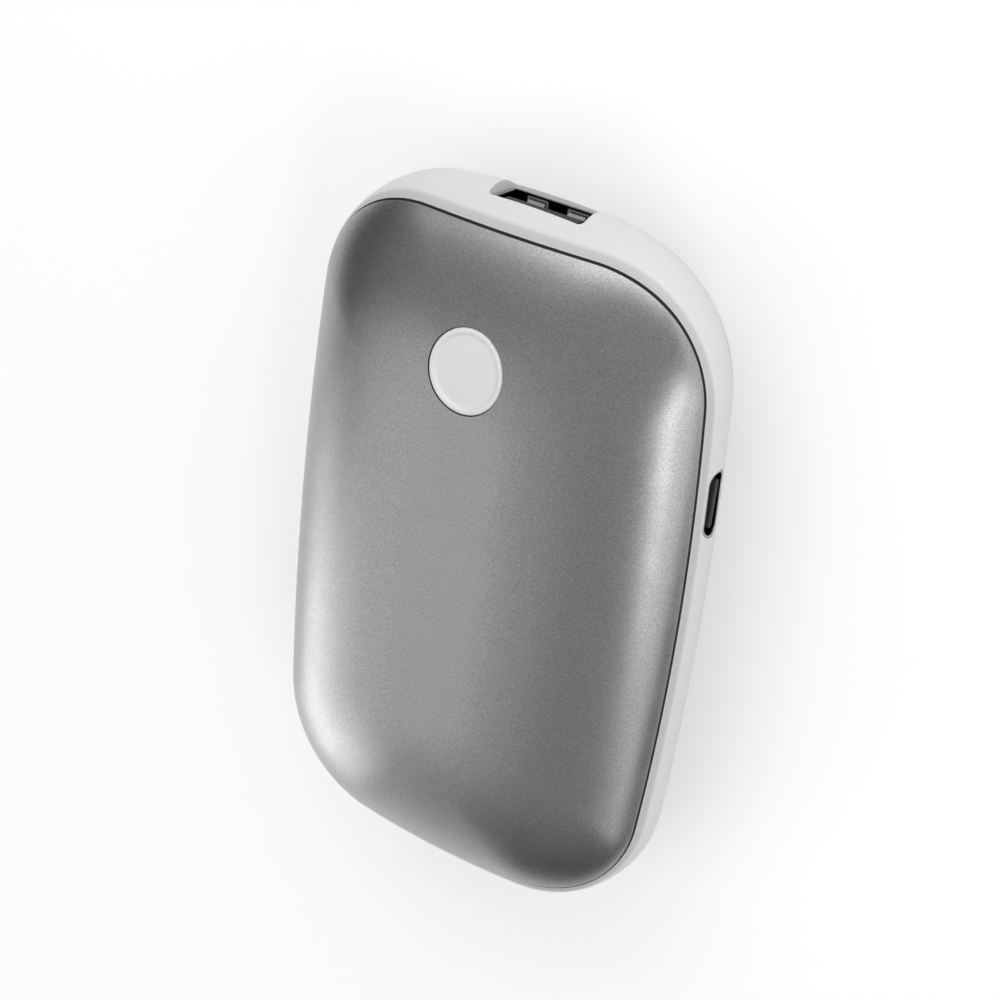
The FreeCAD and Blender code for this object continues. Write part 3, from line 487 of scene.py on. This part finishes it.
def ramp(tree, source, start, stop, low=0.0, high=1.0, soft=False):
    """Pass from one level to another as a source goes from start to stop, evenly or softly."""
    node = tree.nodes.new("ShaderNodeMapRange")
    node.interpolation_type = "SMOOTHSTEP" if soft else "LINEAR"
    for label, value in (("From Min", start), ("From Max", stop), ("To Min", low), ("To Max", high)):
        node.inputs[label].default_value = value
    link(tree, source, node.inputs["Value"])
    return node.outputs["Result"]


def place_split(tree, space="Object"):
    """The place being shaded, as three values."""
    place, split = tree.nodes.new("ShaderNodeTexCoord"), tree.nodes.new("ShaderNodeSeparateXYZ")
    link(tree, place.outputs[space], split.inputs["Vector"])
    return split.outputs


def distance_from(tree, source, value):
    """How far a source is from a value, either way."""
    return math_node(tree, "ABSOLUTE", math_node(tree, "SUBTRACT", source, value))


def paint_shade_into_base(tree, share, shade, entry):
    """Paint shade into a finish's base colour: blend it with a plain darker colour, which goes into entry A
    or B of the blend.
    """
    base = tree.nodes["Principled BSDF"].inputs["Base Color"]
    mix = tree.nodes.new("ShaderNodeMix")
    mix.data_type = "RGBA"
    mix.inputs[entry].default_value = (*shade, 1)
    link(tree, base.links[0].from_socket, mix.inputs["A" if entry == "B" else "B"])
    link(tree, share, mix.inputs["Factor"])
    link(tree, mix.outputs["Result"], base)


def grain_group():
    """Fine surface grain: a value round one half, a coarser cloud and a height for bumps."""
    name = "Surface Grain"
    if name in bpy.data.node_groups:
        return bpy.data.node_groups[name]
    group = bpy.data.node_groups.new(name, "ShaderNodeTree")
    for label, default in (("Fine Scale", 4000.0), ("Cloud Scale", 120.0)):
        socket = group.interface.new_socket(label, in_out="INPUT", socket_type="NodeSocketFloat")
        socket.default_value = default
    for label in ("Grain", "Cloud", "Height"):
        group.interface.new_socket(label, in_out="OUTPUT", socket_type="NodeSocketFloat")
    nodes = group.nodes
    entry, leave = nodes.new("NodeGroupInput"), nodes.new("NodeGroupOutput")
    place = nodes.new("ShaderNodeTexCoord")
    fine, cloud = nodes.new("ShaderNodeTexNoise"), nodes.new("ShaderNodeTexNoise")
    fine.inputs["Detail"].default_value = 2
    fine.inputs["Roughness"].default_value = 0.65
    cloud.inputs["Detail"].default_value = 3
    for noise, label in ((fine, "Fine Scale"), (cloud, "Cloud Scale")):
        link(group, place.outputs["Object"], noise.inputs["Vector"])
        link(group, entry.outputs[label], noise.inputs["Scale"])
    cloud_share = 0.25
    swell = math_node(group, "MULTIPLY", cloud.outputs["Fac"], cloud_share)
    link(group, fine.outputs["Fac"], leave.inputs["Grain"])
    link(group, cloud.outputs["Fac"], leave.inputs["Cloud"])
    link(group, math_node(group, "ADD", swell, fine.outputs["Fac"]), leave.inputs["Height"])
    return group


def spread(tree, source, low, high):
    """Map a noise value round one half to a range."""
    return ramp(tree, source, 0.25, 0.75, low, high)


def surface(name, base, roughness, metallic=0.0, fine_scale=4000.0, cloud_scale=120.0, tint=0.06,
            gloss_spread=0.06, bump=0.1, bump_depth=0.01, coat=0.0):
    """A procedural finish: grain in colour, gloss and relief over a base colour."""
    if name in bpy.data.materials:
        return bpy.data.materials[name]
    material = bpy.data.materials.new(name)
    material.use_nodes = True
    tree = material.node_tree
    shader = tree.nodes["Principled BSDF"]
    shader.inputs["Metallic"].default_value = metallic
    shader.inputs["Coat Weight"].default_value = coat
    grain = tree.nodes.new("ShaderNodeGroup")
    grain.node_tree = grain_group()
    grain.inputs["Fine Scale"].default_value = fine_scale
    grain.inputs["Cloud Scale"].default_value = cloud_scale
    mix = tree.nodes.new("ShaderNodeMix")
    mix.data_type = "RGBA"
    mix.inputs["A"].default_value = [max(0, value * (1 - tint)) for value in base] + [1]
    mix.inputs["B"].default_value = [min(1, value * (1 + tint)) for value in base] + [1]
    link(tree, spread(tree, grain.outputs["Grain"], 0, 1), mix.inputs["Factor"])
    link(tree, mix.outputs["Result"], shader.inputs["Base Color"])
    link(tree, spread(tree, grain.outputs["Cloud"], roughness - gloss_spread, roughness + gloss_spread),
         shader.inputs["Roughness"])
    relief = tree.nodes.new("ShaderNodeBump")
    relief.inputs["Strength"].default_value = bump
    relief.inputs["Distance"].default_value = bump_depth * MM
    link(tree, grain.outputs["Height"], relief.inputs["Height"])
    link(tree, relief.outputs["Normal"], shader.inputs["Normal"])
    return material


def socket_sheet(shell, insulator=None):
    """Plated sheet of a socket with painted shade: darkened deep inside, half as much on its sprung
    fingers, not at its lip.

    A shell without an insulator is a modelled one, whose depth below the skin is an attribute."""
    steel = finish().steel
    material = surface(f"Plated sheet of {shell}", steel, 0.34, metallic=1.0, fine_scale=2500,
                       cloud_scale=400, tint=0.08, gloss_spread=0.05, bump=0.1)
    tree = material.node_tree
    if insulator is None:
        depth = tree.nodes.new("ShaderNodeAttribute")
        depth.attribute_name = SHEET_DEPTH
        dark_from, bright_to = 0.4 * MM, 0.25 * MM
        bright = ramp(tree, depth.outputs["Fac"], dark_from, bright_to)
    else:
        spot = place_split(tree)
        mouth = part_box(shell)[1].y
        dark_from, bright_to = mouth - 0.12 * MM, mouth - 0.04 * MM
        lip = ramp(tree, spot["Y"], dark_from, bright_to)
        half = size_of(insulator) / 2
        across = distance_from(tree, spot["X"], centre_of(insulator).x)
        side_dark, side_bright = 0.85 * half.x, 0.8 * half.x
        off_side = ramp(tree, across, side_dark, side_bright)
        wall_dark, wall_bright = half.z - 0.03 * MM, half.z - 0.1 * MM
        off_wall = ramp(tree, distance_from(tree, spot["Z"], MIDDLE), wall_dark, wall_bright)
        # The sprung fingers get half the painted shade.
        finger_level = 0.5
        fingers = math_node(tree, "MULTIPLY", math_node(tree, "MULTIPLY", off_wall, off_side), finger_level)
        bright = math_node(tree, "MAXIMUM", lip, fingers)
    # Painted shade: deep inside the socket, where shade falls, the sheet is darkened to this share of its
    # own colour.
    painted_shade_share = 0.05
    paint_shade_into_base(tree, bright, [painted_shade_share * value for value in steel], "A")
    return material


def cover_metal():
    """Blasted and anodised aluminium: a fine sparkle over a soft sheen."""
    look = finish()
    return surface("Blasted aluminium", look.metal, look.metal_roughness, metallic=1.0, fine_scale=5400,
                   cloud_scale=260, tint=0.3, gloss_spread=0.02, bump=0.3, bump_depth=0.02)


def band_plastic():
    """White moulding with a faint spark-eroded texture, and painted shade in a strip beside each seam."""
    look, s = finish(), sizes()
    material = surface("White band moulding", look.band, look.band_roughness, fine_scale=5200,
                       cloud_scale=90, tint=0.012, gloss_spread=0.03, bump=0.12, bump_depth=0.01)
    tree = material.node_tree
    spot = place_split(tree)
    up = math_node(tree, "ADD", distance_from(tree, spot["Z"], MIDDLE), s.seam_bow - s.seam_crest)
    squares = [math_node(tree, "POWER", value, 2) for value in (spot["X"], up)]
    reach = math_node(tree, "SQRT", math_node(tree, "ADD", *squares))
    off_seam = distance_from(tree, reach, s.seam_bow)
    # Painted shade: the band is darkened between about 0.2 and 1.1 mm off each seam, standing in for the
    # shade on its rounded edge.
    seam_fade, band_fade = (0.2 * MM, 0.32 * MM), (1.1 * MM, 0.7 * MM)
    strip = math_node(tree, "MULTIPLY", ramp(tree, off_seam, *band_fade), ramp(tree, off_seam, *seam_fade))
    paint_shade_into_base(tree, strip, [look.painted_strip_shade * value for value in look.band], "B")
    return material


def button_plastic():
    """Smoother white moulding of the button."""
    return surface("White button moulding", finish().button, 0.36, fine_scale=6000, cloud_scale=140,
                   tint=0.01, gloss_spread=0.03, bump=0.06, bump_depth=0.01)


# Pieces


class WARMER_OT_covers(bpy.types.Operator):
    """Model the front and rear covers as domed shells with rounded rims"""

    bl_idname = "warmer.covers"
    bl_label = "Covers"

    def execute(self, context):
        for name, side in (("front_cover_shell", 1), ("rear_cover_shell", -1)):
            cover = self.dome(name, side)
            if side > 0:
                self.pierce(cover)
            smooth(cover)
            finish_piece(cover, cover_metal(), "cover_metal", "housing", name.removesuffix("_shell"))
        return {"FINISHED"}

    def dome(self, name, side):
        """One cover: inner skin, rim, rounded edge and outer skin as one stack of rings."""
        s = sizes()
        pebble = Pebble(s)
        top = side * math.pi / 2
        offset = s.seam_gap / 2
        inner_start = [pebble.seam_angle(column, side, offset, s.cover_wall) for column in pebble.columns]
        inner_rows = s.cover_rows // 3
        rings = []
        for row in range(inner_rows, -1, -1):
            share = row / inner_rows
            rings.append(pebble.ring([a + (top - a) * share for a in inner_start], s.cover_wall))
        edge, start = pebble.rounded_rim(side, offset, 1, s.cover_edge)
        rings += edge
        for row in range(s.cover_rows + 1):
            share = row / s.cover_rows
            rings.append(pebble.ring([a + (top - a) * share for a in start]))
        return wrap_grid(name, rings)

    def pierce(self, cover):
        """Cut the round hole for the button."""
        s = sizes()
        middle, size = centre_of("power_button"), size_of("power_button")
        button_radius = s.dish_radius + s.dish_slope + s.rim_flat + s.button_edge
        deselect()
        bpy.ops.mesh.primitive_cylinder_add(vertices=160, radius=button_radius + s.hole_play,
                                            depth=size.z * 2, location=(middle.x, middle.y, CAD_HIGH.z))
        cutter = bpy.context.object
        bpy.ops.object.transform_apply(location=True, rotation=False, scale=False)
        cut_away(cover, cutter)


class WARMER_OT_band(bpy.types.Operator):
    """Model the moulded band with its rounded seam edges and the two socket openings"""

    bl_idname = "warmer.band"
    bl_label = "Band"

    def execute(self, context):
        s = sizes()
        band = self.ring()
        self.open_wall(band, 1, centre_of("usb_a_insulator").x, s.wide_opening, s.wide_height,
                       s.wide_corner)
        self.open_wall(band, 0, centre_of("usb_c_shell").y, s.small_opening, s.small_height,
                       s.small_height / 2)
        smooth(band, degrees=16)
        finish_piece(band, band_plastic(), "band_plastic", "housing", "mid_frame")
        return {"FINISHED"}

    def ring(self):
        """The band between its seams: rims, rounded edges and the outer skin, closed by an inner wall."""
        s = sizes()
        pebble = Pebble(s)
        offset = -s.seam_gap / 2
        low_edge, low = pebble.rounded_rim(-1, offset, -1, s.band_edge)
        high_edge, high = pebble.rounded_rim(1, offset, -1, s.band_edge)
        rings = [pebble.seam_ring(-1, offset, s.band_wall)] + low_edge
        for row in range(s.band_rows + 1):
            share = row / s.band_rows
            rings.append(pebble.ring([a + (b - a) * share for a, b in zip(low, high)]))
        rings += high_edge[::-1]
        rings += [pebble.seam_ring(1, offset, s.band_wall), rings[0]]
        return wrap_grid("band_moulding", rings, loop=True)

    def open_wall(self, band, axis, middle, wide, tall, corner):
        """Cut a socket opening with a rounded mouth, through a long side (axis 0) or an end (axis 1)."""
        s = sizes()
        pebble = Pebble(s)
        edge, rows = s.socket_edge, 5
        steepest, flattest = math.pi / 2, math.radians(20)
        through, flare = 4 * s.band_wall, s.band_edge
        profile = [(0.0, through)]
        for row in range(rows + 1):
            turn = steepest + (flattest - steepest) * row / rows
            profile.append((edge * (1 - math.sin(turn)), edge * (1 - math.cos(turn))))
        profile.append((profile[-1][0] + flare / math.tan(flattest), profile[-1][1] - flare))
        rings = []
        for grow, depth in profile:
            ring = []
            for along, up in rounded_outline(wide + 2 * grow, tall + 2 * grow, corner + grow):
                along, height = along + middle, up + MIDDLE
                out = pebble.skin_out(axis, along, height) - depth
                ring.append(Vector((along, out, height) if axis else (out, along, height)))
            rings.append(ring)
        cap = [spot.copy() for spot in rings[-1]]
        clear = max(spot[axis] for spot in cap) + s.band_wall
        for spot in cap:
            spot[axis] = clear
        cut_away(band, wrap_grid("opening", rings + [cap]))


class WARMER_OT_seals(bpy.types.Operator):
    """Model the thin black seals that fill the two seams just below the skin, where their black also stands
    in for the shade in the seam gaps
    """

    bl_idname = "warmer.seals"
    bl_label = "Seals"

    def execute(self, context):
        s = sizes()
        pebble = Pebble(s)
        # Near-black seal rubber: the seals' own colour, and also painted shade for the seam gaps, since the
        # seals sit just below the skin.
        rubber = surface("Black seal rubber", (0.008, 0.008, 0.008), 0.8, fine_scale=1500, tint=0.2)
        half = s.seal_fill * s.seam_gap / 2
        high, deep = s.seal_drop, s.seal_drop + s.seal_depth
        corners = ((-half, high), (half, high), (half, deep), (-half, deep), (-half, high))
        for name, side in (("front", 1), ("rear", -1)):
            rings = [pebble.seam_ring(side, offset, inset) for offset, inset in corners]
            seal = wrap_grid(f"{name}_seal_ring", rings, loop=True)
            smooth(seal)
            finish_piece(seal, rubber, "seal_rubber", "housing", f"{name}_gasket")
        return {"FINISHED"}


class WARMER_OT_button(bpy.types.Operator):
    """Model the push button with its rim, shallow dish, flange and stem"""

    bl_idname = "warmer.button"
    bl_label = "Button"

    def execute(self, context):
        s = sizes()
        pebble = Pebble(s)
        middle = centre_of("power_button")
        low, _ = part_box("power_button")
        profile = self.profile(s)
        count = 128
        rings = []
        for radius, drop in profile:
            rings.append([Vector((x, y, pebble.top_height(x, y) - drop))
                          for x, y in round_spots(middle, radius, count)])
        rim, flange = profile[-1][0], size_of("power_button").x / 2
        for radius, height in ((rim, s.flange_top), (flange, s.flange_top), (flange, s.flange_foot),
                               (s.stem_radius, s.flange_foot)):
            rings.append(flat_ring(middle, radius, MIDDLE + height, count))
        rings.append(flat_ring(middle, s.stem_radius, low.z, count))
        button = wrap_grid("button_cap", rings)
        smooth(button)
        finish_piece(button, button_plastic(), "button_plastic", "button", "power_button")
        return {"FINISHED"}

    def profile(self, s):
        """Radius and drop below the pebble, from the middle of the dish over the rim and down its edge."""
        dish_shares = (0.02, 0.1, 0.25, 0.4, 0.55, 0.7, 0.85, 1.0)
        spots = [(s.dish_radius * share, s.dish_drop) for share in dish_shares]
        rows = 10
        for row in range(1, rows + 1):
            share = row / rows
            ease = share * share * (3 - 2 * share)
            spots.append((s.dish_radius + s.dish_slope * share, s.dish_drop * (1 - ease)))
        shoulder = s.dish_radius + s.dish_slope + s.rim_flat
        for row in range(rows + 1):
            turn = math.pi / 2 * row / rows
            spots.append((shoulder + s.button_edge * math.sin(turn), s.button_edge * (1 - math.cos(turn))))
        return spots


class WARMER_OT_sockets(bpy.types.Operator):
    """Finish the two sockets: painted shade inside, less on the sprung fingers and none at the lips"""

    bl_idname = "warmer.sockets"
    bl_label = "Sockets"

    def execute(self, context):
        dark = surface("Dark socket moulding", (0.022, 0.022, 0.023), 0.7, fine_scale=3000, tint=0.15)
        gold = surface("Gilded contact", (0.72, 0.52, 0.22), 0.28, metallic=1.0, fine_scale=2500, tint=0.1)
        dress("usb_a_shell", socket_sheet("usb_a_shell", "usb_a_insulator"))
        dress("usb_a_insulator", dark)
        dress("usb_a_contacts", gold)
        dress("usb_c_contacts", gold)
        shell = self.small_shell()
        smooth(shell)
        finish_piece(shell, socket_sheet("small_shell"), "socket_steel", "housing", "usb_c_shell")
        tongue = self.small_tongue()
        smooth(tongue)
        finish_piece(tongue, dark, "socket_plastic", "housing", "usb_c_insulator")
        return {"FINISHED"}

    def small_ring(self, wide, tall, depth=None, out=None):
        """An oblong ring of the small socket, at a depth below the skin or flat at a place."""
        middle = centre_of("usb_c_shell").y
        pebble = Pebble(sizes())
        ring = []
        for along, up in rounded_outline(wide, tall, tall / 2):
            along, height = along + middle, up + MIDDLE
            x = out if depth is None else pebble.skin_out(0, along, height) - depth
            ring.append(Vector((x, along, height)))
        return ring

    def small_shell(self):
        """The drawn shell: a cup whose rounded lip follows the skin."""
        s = sizes()
        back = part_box("usb_c_shell")[0].x
        wide, tall = s.small_opening - 2 * s.small_play, s.small_height - 2 * s.small_play
        lip, rows = s.small_wall / 2, 8
        rings = [self.small_ring(wide, tall, out=back)]
        for row in range(rows + 1):
            turn = math.pi * row / rows
            shrink = 2 * lip * (1 - math.cos(turn))
            depth = s.small_drop + lip * (1 - math.sin(turn))
            rings.append(self.small_ring(wide - shrink, tall - shrink, depth))
        inner_wide, inner_tall = wide - 2 * s.small_wall, tall - 2 * s.small_wall
        # Rings at these depths carry the fade of the painted shade inside the shell.
        shaded_depths = (0.3, 0.45, 0.8)
        for depth in shaded_depths:
            rings.append(self.small_ring(inner_wide, inner_tall, depth * MM))
        rings.append(self.small_ring(inner_wide, inner_tall, out=back + s.small_wall))
        shell = wrap_grid("small_socket_shell", rings)
        pebble = Pebble(s)
        # Each point's depth below the skin, from which the sheet's painted shade is drawn.
        depths = shell.data.attributes.new(SHEET_DEPTH, "FLOAT", "POINT")
        depths.data.foreach_set("value", [pebble.skin_out(0, vertex.co.y, vertex.co.z) - vertex.co.x
                                          for vertex in shell.data.vertices])
        return shell

    def small_tongue(self):
        """The moulded tongue in the middle of the small socket, with a rounded tip."""
        s = sizes()
        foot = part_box("usb_c_shell")[0].x + s.small_wall
        tip = Pebble(s).skin_out(0, centre_of("usb_c_shell").y, MIDDLE) - s.tongue_drop
        edge, rows = s.tongue_edge, 6
        rings = [self.small_ring(s.tongue_wide, s.tongue_tall, out=foot)]
        for row in range(rows + 1):
            turn = math.pi / 2 * row / rows
            shrink = 2 * edge * (1 - math.cos(turn))
            rings.append(self.small_ring(s.tongue_wide - shrink, s.tongue_tall - shrink,
                                         out=tip - edge * (1 - math.sin(turn))))
        return wrap_grid("small_socket_tongue", rings)


class WARMER_OT_inner_parts(bpy.types.Operator):
    """Finish the parts inside the covers: cell, board, heating films, switch and screws"""

    bl_idname = "warmer.inner_parts"
    bl_label = "Inner parts"

    def execute(self, context):
        # Name, base colour, roughness, metallic and grain scale of each finish.
        looks = {
            ("main_board", "cell_board"): ("Green board mask", (0.02, 0.12, 0.05), 0.4, 0.0, 1200),
            ("charger_chip", "controller_chip"): ("Moulded chip", (0.02, 0.02, 0.022), 0.55, 0.0, 5000),
            ("switch_base", "switch_plunger"): (
                "Black switch moulding", (0.025, 0.025, 0.025), 0.5, 0.0, 4000),
            ("switch_cover", "cell_tabs"): ("Spring sheet", (0.6, 0.59, 0.57), 0.3, 1.0, 2500),
            ("board_screws", "guide_screws"): ("Zinc plated screw", (0.5, 0.5, 0.53), 0.34, 1.0, 3000),
            ("power_inductor",): ("Ferrite block", (0.06, 0.06, 0.062), 0.7, 0.0, 2000),
            ("capacitors", "thermistors"): ("Fired ceramic", (0.42, 0.3, 0.19), 0.45, 0.0, 3000),
            ("indicator_leds",): ("Lamp lens", (0.8, 0.78, 0.6), 0.2, 0.0, 1500),
            ("heater_sockets", "battery_socket"): ("Ivory connector", (0.72, 0.68, 0.58), 0.45, 0.0, 3500),
            ("button_guide",): ("Natural moulding", (0.6, 0.6, 0.6), 0.5, 0.0, 4000),
            ("battery_cell",): ("Pouch foil", (0.62, 0.63, 0.65), 0.36, 1.0, 700),
            ("battery_lead_positive",): ("Red lead cover", (0.5, 0.02, 0.02), 0.5, 0.0, 2500),
            ("battery_lead_negative",): ("Black lead cover", (0.02, 0.02, 0.02), 0.5, 0.0, 2500),
            ("front_heater", "rear_heater", "front_heater_tail", "rear_heater_tail"): (
                "Amber film", (0.45, 0.2, 0.04), 0.3, 0.0, 900),
            ("front_pad", "rear_pad"): ("Closed-cell foam", (0.12, 0.12, 0.125), 0.9, 0.0, 1800),
        }
        for nodes, (name, base, roughness, metallic, scale) in looks.items():
            material = surface(name, base, roughness, metallic=metallic, fine_scale=scale, tint=0.12)
            for node in nodes:
                dress(node, material)
        return {"FINISHED"}


class WARMER_OT_switch_dome(bpy.types.Operator):
    """Model the snap dome of the switch in its domed shape; the real dome flattens as the button goes in"""

    bl_idname = "warmer.switch_dome"
    bl_label = "Switch dome"

    def execute(self, context):
        s = sizes()
        low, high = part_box("switch_dome")
        middle = centre_of("switch_dome")
        tall, foot = high.z - low.z, (high.x - low.x) / 2
        outer = (foot ** 2 + tall ** 2) / (2 * tall)
        floor = outer - tall
        rows, count = 12, 64
        rings = []
        for radius, order in ((outer, range(1, rows + 1)), (outer - s.dome_sheet, range(rows, 0, -1))):
            widest = math.acos(floor / radius)
            for row in order:
                turn = widest * row / rows
                reach, height = radius * math.sin(turn), low.z + radius * math.cos(turn) - floor
                rings.append(flat_ring(middle, reach, height, count))
        dome = wrap_grid("switch_snap_dome", rings)
        smooth(dome)
        finish_piece(dome, bpy.data.materials["Spring sheet"], "spring_steel", "housing", "switch_dome")
        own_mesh(dome)
        return {"FINISHED"}


# Stage


class WARMER_OT_stage(bpy.types.Operator):
    """Set the pale floor, the soft lamps, the world and the camera"""

    bl_idname = "warmer.stage"
    bl_label = "Stage"

    def execute(self, context):
        self.floor()
        self.world()
        self.lamps()
        self.camera()
        context.scene.view_settings.view_transform = "Standard"
        return {"FINISHED"}

    def floor(self):
        """A wide floor that shows white to the camera and to reflections, less the object's shadow."""
        look = finish()
        floor_size = 40
        deselect()
        bpy.ops.mesh.primitive_plane_add(size=floor_size, location=(0, 0, CAD_LOW.z))
        floor = bpy.context.object
        floor.name = "studio_floor"
        material = bpy.data.materials.new("Studio floor")
        material.use_nodes = True
        tree = material.node_tree
        shader = tree.nodes["Principled BSDF"]
        shader.inputs["Base Color"].default_value = (*look.floor, 1)
        shader.inputs["Roughness"].default_value = 1.0
        shader.inputs["Specular IOR Level"].default_value = 0.0
        shader.inputs["Emission Color"].default_value = (1, 1, 1, 1)
        path = tree.nodes.new("ShaderNodeLightPath").outputs
        seen = math_node(tree, "MAXIMUM", path["Is Camera Ray"], path["Is Glossy Ray"])
        seen = math_node(tree, "MAXIMUM", seen, path["Is Transmission Ray"])
        place = tree.nodes.new("ShaderNodeTexCoord")
        away = tree.nodes.new("ShaderNodeVectorMath")
        away.operation = "LENGTH"
        link(tree, place.outputs["Object"], away.inputs[0])
        near, far = 0.3, 0.8
        glow = ramp(tree, away.outputs["Value"], near, far, look.floor_near, look.floor_far, soft=True)
        link(tree, math_node(tree, "MULTIPLY", seen, glow), shader.inputs["Emission Strength"])
        floor.data.materials.append(material)

    def world(self):
        """A plain studio: pale overhead and along the horizon, dim between."""
        world = bpy.data.worlds.new("Studio")
        bpy.context.scene.world = world
        world.use_nodes = True
        tree = world.node_tree
        back = tree.nodes["Background"]
        look = finish()
        height = place_split(tree, "Generated")["Z"]
        sky = ramp(tree, height, 0.0, 1.0, 0.0, look.sky_level, soft=True)
        horizon_top, horizon_foot = 0.2, 0.06
        horizon = ramp(tree, height, horizon_top, horizon_foot, 0.0, look.horizon_level, soft=True)
        link(tree, math_node(tree, "ADD", sky, horizon), back.inputs["Color"])

    def lamps(self):
        """Soft boxes: the main one beyond the wide socket, and fills that the metal mirrors."""
        middle = Vector((0, 0, MIDDLE))
        distance = 0.6
        # Name, direction from the object, width, height and power of each box.
        boxes = (
            ("top_box", (0.0, 0.9, 0.44), 0.6, 0.4, 1.5),
            ("wide_box", (0.0, 0.9, 0.44), 1.4, 0.5, 1.1),
            ("end_box", (-0.3, 0.67, 0.68), 0.3, 0.3, 0.07),
            ("side_box", (0.72, -0.2, 0.66), 0.3, 0.1, 0.38),
            ("edge_box", (0.76, -0.35, 0.54), 0.5, 0.2, 0.11),
            ("rim_box", (0.8, -0.42, 0.42), 0.5, 0.1, 0.16),
            ("band_box", (0.9, 0.3, 0.3), 0.9, 0.4, 1.0),
            ("land_box", (-0.47, -0.44, 0.77), 0.5, 0.5, 0.2),
            ("slope_box", (-0.65, -0.4, 0.65), 0.4, 0.4, 0.2),
            ("left_box", (-0.8, -0.57, 0.1), 0.3, 0.2, 0.28),
            ("corner_box", (-0.72, -0.66, 0.2), 0.3, 0.3, 0.36),
            ("low_box", (-0.47, -0.86, 0.2), 0.3, 0.2, 0.1),
        )
        for name, direction, width, height, power in boxes:
            lamp = bpy.data.lights.new(name, "AREA")
            lamp.shape = "RECTANGLE"
            lamp.size, lamp.size_y = width, height
            lamp.energy = power
            holder = bpy.data.objects.new(name, lamp)
            bpy.context.scene.collection.objects.link(holder)
            holder.location = middle + Vector(direction).normalized() * distance
            holder.rotation_mode = "QUATERNION"
            holder.rotation_quaternion = (holder.location - middle).to_track_quat("Z", "Y")

    def camera(self):
        """The camera looks down on the front from beside the wide socket, rolled so that this end is up."""
        lens = bpy.data.cameras.new("camera")
        lens.lens, lens.sensor_width = 80.28, 36
        lens.clip_start = 0.01
        camera = bpy.data.objects.new("camera", lens)
        bpy.context.scene.collection.objects.link(camera)
        azimuth, elevation, roll = (math.radians(degrees) for degrees in (43.24, 49.89, -118.47))
        distance = 291.2 * MM
        target = Vector((-0.04 * MM, 6.43 * MM, MIDDLE))
        back = Vector((math.cos(azimuth) * math.cos(elevation), math.sin(azimuth) * math.cos(elevation),
                       math.sin(elevation)))
        camera.location = target + back * distance
        camera.rotation_mode = "QUATERNION"
        camera.rotation_quaternion = (-back).to_track_quat("-Z", "Y") @ Quaternion((0, 0, 1), roll)
        bpy.context.scene.camera = camera


class WARMER_PT_panel(bpy.types.Panel):
    """Sidebar panel that lists the pieces in the order they are made"""

    bl_idname = "WARMER_PT_panel"
    bl_label = "Hand Warmer"
    bl_space_type = "VIEW_3D"
    bl_region_type = "UI"
    bl_category = "Hand Warmer"

    def draw(self, context):
        for step in STEPS:
            self.layout.operator(step.bl_idname)


STEPS = (WARMER_OT_covers, WARMER_OT_band, WARMER_OT_seals, WARMER_OT_button, WARMER_OT_sockets,
         WARMER_OT_inner_parts, WARMER_OT_switch_dome, WARMER_OT_stage)
CLASSES = (WarmerSizes, WarmerFinish, *STEPS, WARMER_PT_panel)


def register():
    """Add the classes and the scene's settings."""
    for item in CLASSES:
        bpy.utils.register_class(item)
    bpy.types.Scene.warmer_sizes = PointerProperty(type=WarmerSizes)
    bpy.types.Scene.warmer_finish = PointerProperty(type=WarmerFinish)


def unregister():
    """Take the settings and the classes away again."""
    del bpy.types.Scene.warmer_finish
    del bpy.types.Scene.warmer_sizes
    for item in reversed(CLASSES):
        bpy.utils.unregister_class(item)


def main():
    """Make every piece and the stage."""
    register()
    bpy.ops.warmer.covers()
    bpy.ops.warmer.band()
    bpy.ops.warmer.seals()
    bpy.ops.warmer.button()
    bpy.ops.warmer.sockets()
    bpy.ops.warmer.inner_parts()
    bpy.ops.warmer.switch_dome()
    bpy.ops.warmer.stage()


if __name__ == "__main__":
    main()
